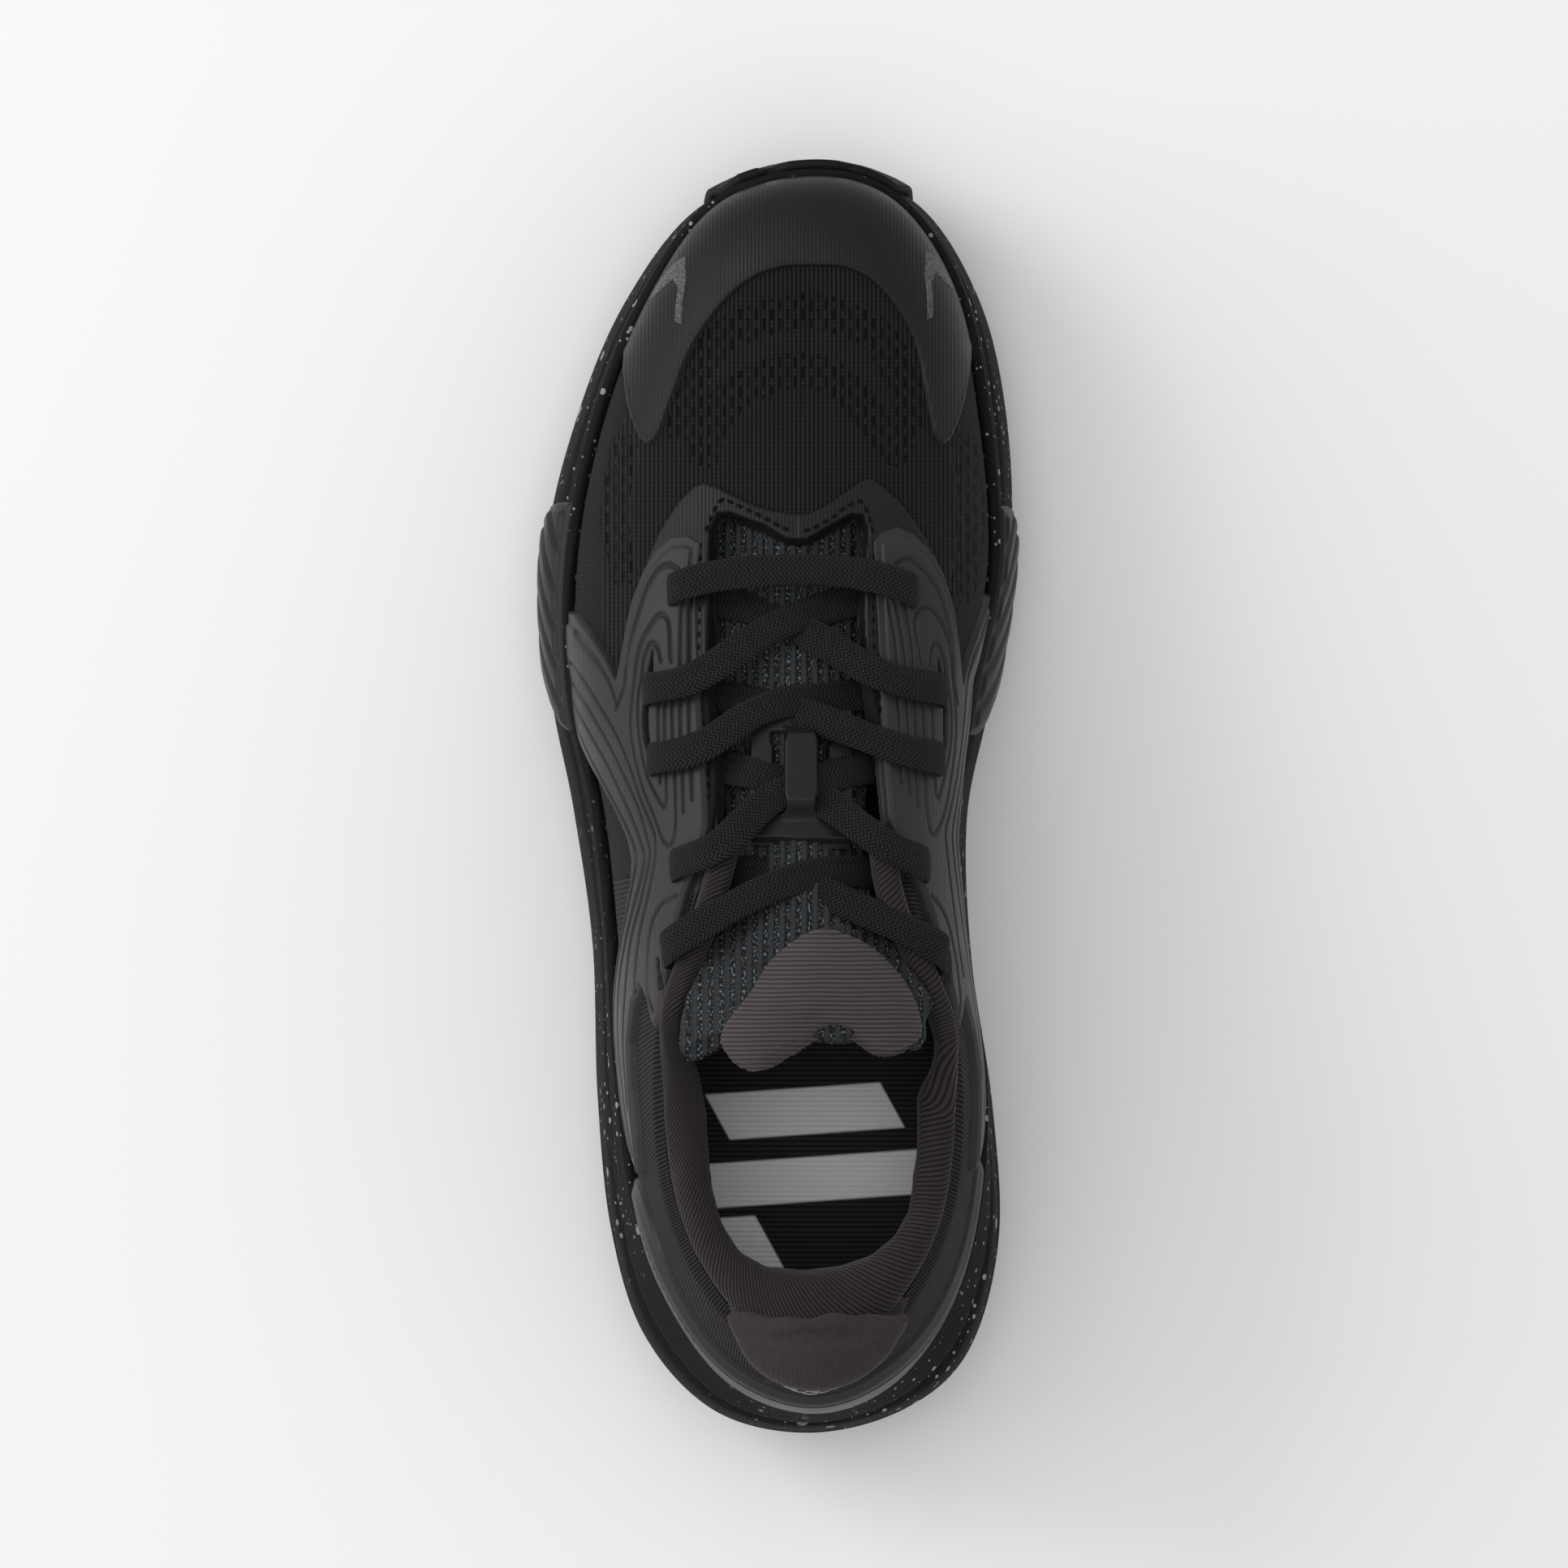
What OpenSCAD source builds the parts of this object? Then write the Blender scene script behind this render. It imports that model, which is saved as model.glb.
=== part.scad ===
// Running shoe for the left foot: foam sole, rubber treads, knitted upper, laced throat.
// Frame: origin under the middle of the sole, +X to the inner side, +Y to the toe, +Z up.

/* [Sole] */
// Length of the sole, heel to toe
sole_length = 300; // [255:1:345]
// Width of the sole at the ball of the foot
sole_width = 111; // [92:1:128]
// Height of the foam wall at the back of the heel
heel_wall = 56; // [50:1:66]
// Height of the foam wall beside the little toe
toe_wall = 34; // [31:1:40]
// Height of the foot bed under the heel
heel_stack = 34; // [28:1:40]
// Height of the foot bed under the ball of the foot
ball_stack = 24; // [20:1:28]
// Rise of the foam at the tip of the toe
toe_spring = 9; // [4:1:12]
// Rise of the foam at the back edge of the heel
heel_bevel = 6; // [2:1:9]
// Thickness of the tread rubber
tread = 4; // [2.5:0.5:5]

/* [Upper] */
// Height of the crown line over the heel, which the collar cuts
crown_height = 118; // [104:1:136]
// Height of the crown line at the toe box
toe_box_height = 59; // [52:1:66]
// Thickness of the knitted mesh
mesh_ply = 1.9; // [1.2:0.1:2.4]
// Thickness of the inside lining
lining_ply = 0.9; // [0.6:0.1:1.2]
// Thickness of the welded film
film_ply = 0.6; // [0.4:0.1:1]
// Thickness of the moulded eyestays
eyestay_ply = 1.5; // [1:0.1:2]
// Thickness of the moulded heel clip
clip_ply = 2; // [1.5:0.1:3]
// Gap left between plies that follow the same curve
ply_gap = 0.6; // [0.5:0.1:0.8]
// Width of the padded collar roll
collar_roll = 10; // [8:0.5:12]
// Thickness of the tongue foam
tongue_foam_ply = 5; // [3.5:0.5:6]

/* [Foot bed] */
// Thickness of the removable insole foam
insole_ply = 4; // [3:0.5:6]
// Thickness of the board that the upper is sewn to
board_ply = 1.5; // [1:0.5:2.5]
// Gap around the removable insole
insole_gap = 1; // [0.6:0.1:2]

/* [Lace] */
// Width of the flat lace
lace_width = 7; // [5:0.5:7.5]
// Thickness of the flat lace
lace_ply = 1.8; // [1.2:0.1:2]

/* [Hidden] */

// The curves below are drawn for a sole 300 long and 111 wide and stretch with it
long = sole_length / 300;
wide = sole_width / 111;
steps = 12;

// Stations run from the middle of the heel (0) to the tip of the toe (12)
// Seam where the upper leaves the foam wall, seen from above
SEAM_LATERAL = [[7.5, -142.4], [-11.5, -135.3], [-26, -115], [-33, -93], [-37, -62],
    [-38.7, -32], [-42, -2], [-48, 27], [-48.2, 58], [-42, 90], [-30.5, 119], [-14.5, 140.7], [8, 147.3]];
SEAM_MEDIAL = [[7.5, -142.4], [25, -136.5], [38, -120], [45, -97], [46.5, -66],
    [41, -32], [39.5, -2], [43.5, 27], [49.5, 57], [47.5, 90], [41, 121], [27, 141.5], [8, 147.3]];
// Widest outline of the foam, seen from above
SOLE_LATERAL = [[7, -150], [-15.5, -144.7], [-32, -127], [-40, -102], [-43.3, -70],
    [-44.5, -34], [-49, -2], [-54.5, 27], [-55.5, 60], [-48.3, 91], [-36.5, 119], [-18.5, 141.5], [8, 150]];
SOLE_MEDIAL = [[7, -150], [29.5, -144.4], [44.8, -130.5], [52, -104], [50.5, -72],
    [45.5, -37], [44.5, -4], [50, 24], [55, 58], [53.8, 92], [47, 120], [32, 142.3], [8, 150]];
// Crown line over the foot: [x, y, share of the rise from toe box to crown]
CROWN = [[7.5, -100, 1], [7, -93, 1], [6.5, -82, 1.017], [6, -66, 1.008], [5, -46, 0.932],
    [4, -24, 0.763], [3.5, 0, 0.586], [3.5, 27, 0.426], [4, 55, 0.29], [5, 80, 0.172],
    [6.5, 99, 0.079], [7.5, 111, 0.02], [8, 115, 0]];
// Share of the heel wall's extra height kept at each station
WALL_SHARE = [1, 0.93, 0.77, 0.59, 0.41, 0.27, 0.18, 0.09, 0.02, -0.02, 0.05, 0.18, 0.27];
// Share of the heel's extra stack kept by the foot bed
BED_SHARE = [1, 1, 1, 0.97, 0.85, 0.65, 0.42, 0.2, 0.05, 0, 0.06, 0.2, 0.35];
// Direction in which each rib of the upper leans, degrees forward of sideways
FAN = [-90, -52, -20, -5, 0, 0, 0, 0, 0, 6, 22, 52, 90];
// Length and sideways lean of the lower pull of each rib
RISE = [26, 27, 30, 32, 34, 34, 33, 30, 26, 21, 16, 13, 12];
LEAN_LATERAL = [3, 2.5, 2, 1, 0, 0, 0, 0, 0, 0.5, 1, 1.5, 1.5];
LEAN_MEDIAL = [3, 2.5, 2, 1, 2, 6, 7, 5, 2, 1, 1, 1.5, 1.5];
// Length of the upper pull of each rib
REACH_LATERAL = [30, 30, 30, 29, 28, 27, 26, 27, 28, 27, 25, 23, 22];
REACH_MEDIAL = [30, 30, 30, 30, 30, 29, 28, 27, 27, 27, 25, 23, 22];
// Share of a rib's height where the foot opening and the throat cut it
EDGE_LATERAL = [0.54, 0.51, 0.45, 0.4, 0.46, 0.65, 0.745, 0.74, 0.745, 0.72, 0.68, 0.64, 0.62];
EDGE_MEDIAL = [0.54, 0.49, 0.42, 0.345, 0.39, 0.62, 0.68, 0.765, 0.79, 0.75, 0.7, 0.64, 0.62];
// Share of a rib's height on the line of the lace eyelets
HOLE_LATERAL = [0.4, 0.4, 0.4, 0.4, 0.42, 0.6, 0.525, 0.53, 0.64, 0.66, 0.6, 0.6, 0.6];
HOLE_MEDIAL = [0.35, 0.35, 0.35, 0.35, 0.35, 0.57, 0.48, 0.46, 0.65, 0.68, 0.6, 0.6, 0.6];
// Share of a rib's height at the lower edge of each moulded eyestay
STAY_LATERAL = [0.04, 0.04, 0.04, 0.04, 0.04, 0.04, 0.06, 0.14, 0.5, 0.6, 0.6, 0.6, 0.6];
STAY_MEDIAL = [0.04, 0.04, 0.04, 0.04, 0.04, 0.04, 0.05, 0.1, 0.5, 0.6, 0.6, 0.6, 0.6];
// Share of a rib's height at the sides of the tongue
TONGUE_LATERAL = [0.7, 0.7, 0.7, 0.7, 0.72, 0.76, 0.75, 0.7, 0.68, 0.69, 0.7, 0.7, 0.7];
TONGUE_MEDIAL = [0.7, 0.7, 0.7, 0.7, 0.68, 0.74, 0.74, 0.72, 0.72, 0.73, 0.7, 0.7, 0.7];

// Lace rows, as shares of the way from heel to toe
ROWS = [0.387, 0.452, 0.531, 0.58, 0.647];
// Half the length of an eyelet slot, as a share of the shoe, and half its width as a share of a rib
slot_half = 0.018;
slot_thin = 0.026;
// Places along the shoe where the tongue's free end starts and the throat ends
flex_place = 0.375;
throat_end = 0.7;
// Height of the tongue's middle and sides below the skin of the upper
tongue_middle = 4.6;
tongue_side = 8.6;
// Spread of a rib near the crown line, mm for one full share
crown_spread = 81;

// --- helper functions -------------------------------------------------------------------------

function spline(a, b, c, d, f) =
    0.5 * (2 * b + (c - a) * f + (2 * a - 5 * b + 4 * c - d) * f * f + (d - a + 3 * b - 3 * c) * f * f * f);
// Value of a station list at share u; other is the list of the opposite side, met at both ends
function at(list, other, u) =
    let (x = max(0, min(1, u)) * steps, i = min(floor(x), steps - 1),
         before = i == 0 ? other[1] : list[i - 1],
         after = i == steps - 1 ? other[steps - 1] : list[i + 2])
    spline(before, list[i], list[i + 1], after, x - i);
// Around the shoe: -1..0 is the lateral side toe to heel, 0..1 medial heel to toe, 1..2 lateral again
function is_medial(a) = a >= 0 && a <= 1;
function along(a) = a < 0 ? -a : (a > 1 ? 2 - a : a);
function pick(a, lateral, medial) =
    is_medial(a) ? at(medial, lateral, along(a)) : at(lateral, medial, along(a));
function same(a, list) = at(list, list, along(a));
function scaled(p) = [p[0] * wide, p[1] * long];
function unit(v) = v / norm(v);
function mix(p, q, f) = p + (q - p) * f;
function ramp(x) = let (c = max(0, min(1, x))) c * c * (3 - 2 * c);

function wall_z(a) = toe_wall + (heel_wall - toe_wall) * same(a, WALL_SHARE);
function bed_z(a) = ball_stack + (heel_stack - ball_stack) * same(a, BED_SHARE);
function seam(a) = scaled(pick(a, SEAM_LATERAL, SEAM_MEDIAL));
function sole(a) = scaled(pick(a, SOLE_LATERAL, SOLE_MEDIAL));
// Sideways unit vector out of the seam, seen from above
function out_of(a) =
    let (d = seam(min(2, a + 0.01)) - seam(max(-1, a - 0.01))) unit([d[1], -d[0], 0]);
function crown(a) =
    let (p = same(a, CROWN))
    [p[0] * wide, p[1] * long, toe_box_height + (crown_height - toe_box_height) * p[2]];
function fan_angle(a) =
    let (x = along(a) * steps, i = min(floor(x), steps - 1),
         before = i == 0 ? 2 * FAN[0] - FAN[1] : FAN[i - 1],
         after = i == steps - 1 ? 2 * FAN[steps] - FAN[steps - 1] : FAN[i + 2])
    spline(before, FAN[i], FAN[i + 1], after, x - i);
function fan(a) = [(is_medial(a) ? 1 : -1) * cos(fan_angle(a)), sin(fan_angle(a)), 0];
function lift(p, z) = [p[0], p[1], z];

// Edge of the foot bed, inside the foam wall
cup_draft = 4;
function bed_edge(a) = lift(seam(a), bed_z(a)) - out_of(a) * cup_draft;
// Skin of the upper: t is 0 at the seam, 1 on the crown line and -1 at the foot bed
function skin(a, t) =
    let (base = lift(seam(a), wall_z(a)))
    t < 0 ? mix(base, bed_edge(a), -t) :
    let (low = base + fan(a) * pick(a, LEAN_LATERAL, LEAN_MEDIAL) + [0, 0, same(a, RISE)],
         top = crown(a), high = top + fan(a) * pick(a, REACH_LATERAL, REACH_MEDIAL), s = 1 - t)
    base * s * s * s + low * 3 * s * s * t + high * 3 * s * t * t + top * t * t * t;
function skin_normal(a, t) =
    t < 0 ? out_of(a) :
    let (h = 0.004, t0 = max(0, t - h), t1 = min(1, t + h), t2 = min(t, 0.99))
    unit(cross(skin(a + h, t2) - skin(a - h, t2), skin(a, t1) - skin(a, t0)));
function ply(a, t, off) = skin(a, t) + skin_normal(a, t) * off;

function edge_t(a) = pick(a, EDGE_LATERAL, EDGE_MEDIAL);
function hole_t(a) = pick(a, HOLE_LATERAL, HOLE_MEDIAL);
function stay_t(a) = pick(a, STAY_LATERAL, STAY_MEDIAL);
function tongue_t(a) = pick(a, TONGUE_LATERAL, TONGUE_MEDIAL);
tape_drop = 0.06;
// The mesh ends at the collar behind tape_start, and at the eyestay tape in front of it
tape_start = 0.34;
function mesh_top(a) = along(a) < tape_start ? edge_t(a) - 0.005 : hole_t(a) - tape_drop - 0.01;

// Evenly spaced values from first to last
function spaced(first, last, count) = [for (i = [0 : count]) first + (last - first) * i / count];

// Closed shell between an outer and an inner grid of points; keep(i, j) says which cells exist.
// With fold, the last row runs out along the crown line and back, so its points are shared.
module shell(outer, inner, keep = function(i, j) true, fold = false) {
    n = len(outer) - 1;
    m = len(outer[0]) - 1;
    count = (n + 1) * (m + 1);
    at_cell = function(i, j) i >= 0 && i < n && j >= 0 && j < m && keep(i, j);
    id = function(i, j) (fold && j == m && 2 * i > n ? n - i : i) * (m + 1) + j;
    over = function(i) fold && at_cell(n - 1 - i, m - 1);
    points = concat([for (row = outer) each row], [for (row = inner) each row]);
    faces = [for (i = [0 : n - 1]) for (j = [0 : m - 1]) if (at_cell(i, j))
        let (a = id(i, j), b = id(i + 1, j), c = id(i + 1, j + 1), d = id(i, j + 1)) each concat(
            [[a, c, b], [a, d, c]],
            [[a + count, b + count, c + count], [a + count, c + count, d + count]],
            at_cell(i, j - 1) ? [] : [[a, b, b + count], [a, b + count, a + count]],
            at_cell(i + 1, j) ? [] : [[b, c, c + count], [b, c + count, b + count]],
            at_cell(i, j + 1) || (j == m - 1 && over(i)) ? [] :
                [[c, d, d + count], [c, d + count, c + count]],
            at_cell(i - 1, j) ? [] : [[d, a, a + count], [d, a + count, d + count]])];
    polyhedron(points = points, faces = [for (f = faces) if (solid_face(f)) f], convexity = 6);
}
function solid_face(f) = f[0] != f[1] && f[1] != f[2] && f[0] != f[2];

// Closed solid of rings round the shoe; the first and last rows are folded on its middle line
module ring_solid(rows) {
    m = len(rows) - 1;
    p = len(rows[0]);
    id = function(k, j) ((j == 0 || j == m) && k % p > p / 2 ? p - k % p : k % p) + j * p;
    faces = [for (j = [0 : m - 1]) for (k = [0 : p - 1])
        let (a = id(k, j), b = id(k + 1, j), c = id(k + 1, j + 1), d = id(k, j + 1))
        each j == m - 1 ? [[a, b, d], [b, c, d]] : [[a, b, c], [a, c, d]]];
    polyhedron(points = [for (row = rows) each row],
               faces = [for (f = faces) if (solid_face(f)) f], convexity = 6);
}

// Grid of skin points for a list of places and a function that lists the shares at each place
function plies(places, shares, off) = [for (a = places) [for (t = shares(a)) ply(a, t, off)]];

// --- sole ---------------------------------------------------------------------------------------

ring_count = 56;
RING = [for (k = [0 : ring_count - 1]) 2 * k / ring_count];
toe_flat_end = 75;
heel_flat_end = 122;
// Height of the foam's underside, flat between the rising toe and heel
function foam_floor(y) =
    tread + toe_spring * pow(max(0, (y / long - toe_flat_end) / (150 - toe_flat_end)), 2)
    + heel_bevel * pow(max(0, (-y / long - heel_flat_end) / (150 - heel_flat_end)), 2);
function grown(p, a, d, z) = lift(p, z) + out_of(a) * d;
// Side of the foam: v is 0 at the tread edge and 1 at the top of the wall
SIDE = [[-6, 0, 0], [-2, 0, 0.14], [0, 0, 0.4], [-1.2, 0, 0.72], [0, 1, 1]];
wall_ply = 2.6;
function foam_side(a, row) =
    let (s = SIDE[row], floor_z = foam_floor(sole(a)[1]))
    s[1] == 1 ? grown(seam(a), a, wall_ply, wall_z(a) - 0.8)
              : grown(sole(a), a, s[0], floor_z + s[2] * (wall_z(a) - floor_z));
// Point on the middle line, drawn in from both ends so that it never meets the edge
function middle(a, z, draw = 0.12) =
    let (u = draw + along(a) * (1 - 2 * draw)) lift((seam(u) + seam(2 - u)) / 2, z);
foam_gap = 0.5;

module midsole_foam() {
    color([0.16, 0.16, 0.17])
        ring_solid([
            [for (a = RING) middle(a, bed_z(a) - board_ply)],
            [for (a = RING) bed_edge(a) + out_of(a) * foam_gap - [0, 0, board_ply]],
            [for (a = RING) grown(seam(a), a, foam_gap, wall_z(a))],
            for (row = [4, 3, 2, 1, 0]) [for (a = RING) foam_side(a, row)],
            [for (a = RING) middle(a, foam_floor(middle(a, 0)[1]))]
        ]);
}

// Flat tread pad: a strip of one side between two places, cut by flex grooves
groove = 4;
module tread_pad(from, to, side, inner, grooves) {
    outer_edge = [for (u = spaced(from, to, 12))
        let (a = side > 0 ? u : 2 - u) grown(sole(a), a, -7, 0)];
    inner_edge = [for (u = spaced(to, from, 4)) lift((seam(u) + seam(2 - u)) / 2, 0) + [side * inner, 0, 0]];
    color([0.1, 0.1, 0.1])
        difference() {
            linear_extrude(tread) polygon([for (p = concat(outer_edge, inner_edge)) [p[0], p[1]]]);
            for (u = grooves)
                translate([-sole_width, middle(u, 0)[1] - groove / 2, -1])
                    cube([2 * sole_width, groove, tread / 2 + 1]);
        }
}
pad_middle = 4;
module outsole_forefoot_lateral() { tread_pad(0.5, 0.725, -1, pad_middle, [0.56, 0.62, 0.68]); }
module outsole_forefoot_medial() { tread_pad(0.5, 0.725, 1, pad_middle, [0.56, 0.62, 0.68]); }
module outsole_heel_lateral() { tread_pad(0.17, 0.34, -1, pad_middle + 5, [0.25]); }
module outsole_heel_medial() { tread_pad(0.17, 0.34, 1, pad_middle + 5, [0.25]); }

// Curved tread that follows the foam's underside round one end, with an optional lip up the foam
lip_ply = 2;
lip_half = 0.05;
lip_rows = 4;
// Middle line of such a tread: beside its edge where it starts, drawn in at the tip
function tread_middle(a, centre, half) =
    let (u = along(a), v = u + (0.5 - u) * 0.2 * (half - abs(a - centre)) / half)
    (seam(v) + seam(2 - v)) / 2;
function tread_point(a, j, out, mid) =
    j < lip_rows ? foam_side(a, lip_rows - j) + out_of(a) * (foam_gap + out * lip_ply) :
    let (p = mix(foam_side(a, 0), lift(mid, 0), (j - lip_rows) / 2))
    lift(p, foam_floor(p[1]) - foam_gap - out * (tread - foam_gap));
module curved_tread(centre, rings, lip) {
    half = rings * 2 / ring_count;
    places = spaced(centre - half, centre + half, 2 * rings);
    grid = function(out) [for (a = places) [for (j = [0 : lip_rows + 2])
        tread_point(a, j, out, tread_middle(a, centre, half))]];
    color([0.1, 0.1, 0.1])
        shell(grid(0), grid(1),
              function(i, j) j >= lip_rows || abs((places[i] + places[i + 1]) / 2 - centre) < lip, true);
}
module outsole_toe() { curved_tread(1, 7, lip_half); }
module outsole_heel_edge() { curved_tread(0, 4, 0); }

// Moulded wing over the foam wall at the arch
saddle_ply = 1.6;
module saddle(first, last) {
    places = spaced(first, last, 8);
    grid = function(off) [for (a = places) [for (row = [1 : 4]) foam_side(a, row) + out_of(a) * off]];
    color([0.2, 0.19, 0.19])
        shell(grid(foam_gap + saddle_ply), grid(foam_gap));
}
module saddle_lateral() { saddle(2 - 0.7, 2 - 0.55); }
module saddle_medial() { saddle(0.55, 0.7); }

// --- foot bed -----------------------------------------------------------------------------------

function bed_ring(gap, rise) = [for (a = RING) bed_edge(a) - out_of(a) * gap + [0, 0, rise]];
function bed_line(rise) = [for (a = RING) middle(a, bed_z(a) + rise)];
module bed_layer(gap, low, high) {
    ring_solid([bed_line(high), bed_ring(gap, high), bed_ring(gap, low), bed_line(low)]);
}
upper_total = ply_gap * 2 + mesh_ply + lining_ply;
module strobel_board() {
    color([0.75, 0.75, 0.72]) bed_layer(0.6, 0.1 - board_ply, -0.3);
}
insole_edge = upper_total + insole_gap;
module insole_foam() {
    color([0.3, 0.3, 0.31]) bed_layer(insole_edge, 0, insole_ply);
}
cloth_ply = 0.6;
module insole_cloth() {
    color([0.85, 0.85, 0.85]) bed_layer(insole_edge, insole_ply, insole_ply + cloth_ply);
}

// --- upper --------------------------------------------------------------------------------------

mesh_in = -mesh_ply - ply_gap / 2;
mesh_out = -ply_gap / 2;
lining_out = mesh_in - ply_gap;
lining_in = lining_out - lining_ply;
film_in = ply_gap / 2;
film_out = film_in + film_ply;
stay_in = film_out + ply_gap;
stay_out = stay_in + eyestay_ply;
knee = 0.46;
foot = -0.96;

vamp_places = spaced(knee, 2 - knee, 44);
function vamp_shares(a) =
    let (top = mesh_top(a), from = max(top + 0.01, edge_t(a)))
    along(a) > throat_end
        ? concat(spaced(foot, 0, 1), [for (f = [1 : 5]) mesh_top_front(a) * f / 5], [mix(mesh_top_front(a), 1, 0.5), 1])
        : concat(spaced(foot, 0, 1), [for (f = [1 : 5]) top * f / 5], [mix(from, 1, 0.5), 1]);
function mesh_top_front(a) = mix(mesh_top(a), edge_t(a), ramp((along(a) - throat_end) / 0.05));
function in_front(i) = along((vamp_places[i] + vamp_places[i + 1]) / 2) > throat_end;
module vamp_ply(outer, inner) {
    shell(plies(vamp_places, function(a) vamp_shares(a), outer),
          plies(vamp_places, function(a) vamp_shares(a), inner),
          function(i, j) j < 6 || in_front(i), true);
}
module vamp_mesh() { color([0.13, 0.13, 0.14]) vamp_ply(mesh_out, mesh_in); }
module vamp_lining() { color([0.2, 0.2, 0.2]) vamp_ply(lining_out, lining_in); }

module quarter_mesh(side) {
    medial = concat(spaced(heel_seam, tape_start - 0.005, 12), spaced(tape_start, quarter_end, 5));
    places = side > 0 ? medial : [for (i = [len(medial) - 1 : -1 : 0]) -medial[i]];
    shares = function(a) concat([foot], [for (f = [0 : 5]) mesh_top(a) * f / 5]);
    color([0.2, 0.19, 0.18])
        shell(plies(places, shares, mesh_out), plies(places, shares, mesh_in));
}
quarter_end = knee - 0.006;
heel_seam = 0.002;
module quarter_mesh_lateral() { quarter_mesh(-1); }
module quarter_mesh_medial() { quarter_mesh(1); }

// A ply that covers shares low(a) to high(a) of the skin between two places
module cover(first, last, count, rows, low, high, inner, outer) {
    places = spaced(first, last, count);
    shares = function(a) spaced(low(a), high(a), rows);
    shell(plies(places, shares, outer), plies(places, shares, inner));
}
puff_ply = 1;
module toe_puff() {
    color([0.8, 0.8, 0.75])
        cover(0.87, 1.13, 12, 4, function(a) -0.7, function(a) 0.42,
              lining_in - ply_gap - puff_ply, lining_in - ply_gap);
}
film_low = 0.03;
film_leg = 0.255;
function film_top(a) =
    let (d = abs(a - 1)) d < 0.11 ? mix(0.8, 0.66, ramp(d / 0.11))
        : (d < 0.22 ? mix(0.66, 0.53, ramp((d - 0.11) / 0.11)) : 0.53 - 1.8 * (d - 0.22));
function film_bottom(a) =
    let (d = abs(a - 1)) d < 0.17 ? film_low : mix(film_low, 0.42, ramp((d - 0.17) / 0.06));
module toe_cap_film() {
    color([0.17, 0.17, 0.18])
        cover(1 - film_leg, 1 + film_leg, 24, 4, function(a) film_bottom(a), function(a) film_top(a),
              film_in, film_out);
}
chip_ply = 0.3;
chip_places = [0.79, 0.835, 1.165, 1.21];
chip_half = 0.012;
chip_low = 0.3;
chip_high = 0.44;
module reflector_chip(place) {
    cover(place - chip_half, place + chip_half, 1, 3, function(a) chip_low, function(a) chip_high,
          film_out + ply_gap / 2, film_out + ply_gap / 2 + chip_ply);
}
module toe_reflectors() {
    color([0.6, 0.6, 0.62])
        for (place = chip_places)
            reflector_chip(place);
}

film_band = 0.1;
film_first = 0.655;
film_last = 0.735;
module throat_film() {
    places = concat(spaced(film_first, film_last, 8), spaced(2 - film_last, 2 - film_first, 8));
    shares = function(a)
        let (edge = edge_t(a), low = min(0.9, edge + 5 * max(0, along(a) - throat_end) - film_band))
        [low, min(0.92, max(edge - 0.01, low + 0.02)), 0.95, 1];
    color([0.19, 0.18, 0.18])
        shell(plies(places, shares, film_out), plies(places, shares, film_in),
              function(i, j) (places[i] < 1) == (places[i + 1] < 1)
                  && (j < 1 || along((places[i] + places[i + 1]) / 2) > throat_end), true);
}

// Slots for the lace along a strip of eyelets
SLOT_LINES = [tape_start, for (u = ROWS) each [u - slot_half, u + slot_half], 0.668];
function slot_places(side) =
    side > 0 ? SLOT_LINES : [for (i = [len(SLOT_LINES) - 1 : -1 : 0]) 2 - SLOT_LINES[i]];
function is_slot(i) = i % 2 == 1;
module slotted(side, low, high, inner, outer, rows_below) {
    places = slot_places(side);
    shares = function(a) concat(spaced(low(a), hole_t(a) - slot_thin, rows_below),
                                [hole_t(a) + slot_thin, high(a)]);
    shell(plies(places, shares, outer), plies(places, shares, inner),
          function(i, j) !(is_slot(i) && j == rows_below));
}
module eyestay_tape(side) {
    color([0.12, 0.12, 0.12])
        slotted(side, function(a) hole_t(a) - tape_drop, function(a) edge_t(a), lining_in, mesh_out, 1);
}
module eyestay_tape_lateral() { eyestay_tape(-1); }
module eyestay_tape_medial() { eyestay_tape(1); }
stay_edge = 0.015;
module eyestay(side) {
    color([0.3, 0.28, 0.27])
        slotted(side, function(a) stay_t(a), function(a) edge_t(a) - stay_edge, stay_in, stay_out, 5);
}
module eyestay_lateral() { eyestay(-1); }
module eyestay_medial() { eyestay(1); }

counter_ply = 1.5;
module heel_counter() {
    color([0.8, 0.8, 0.75])
        cover(-0.24, 0.24, 20, 5, function(a) -0.7, function(a) 0.25,
              mesh_in - ply_gap - counter_ply, mesh_in - ply_gap);
}
clip_reach = 0.27;
function clip_top(a) = mix(0.33, 0.09, ramp(abs(a) / clip_reach));
module heel_clip() {
    color([0.25, 0.24, 0.24])
        cover(-clip_reach, clip_reach, 24, 4, function(a) 0.02, function(a) clip_top(a),
              ply_gap / 2, ply_gap / 2 + clip_ply);
}

// --- collar -------------------------------------------------------------------------------------

collar_lateral = 0.47;
collar_medial = 0.485;
collar_places = spaced(-collar_lateral, collar_medial, 40);
roll_rise = 3.5;
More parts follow.
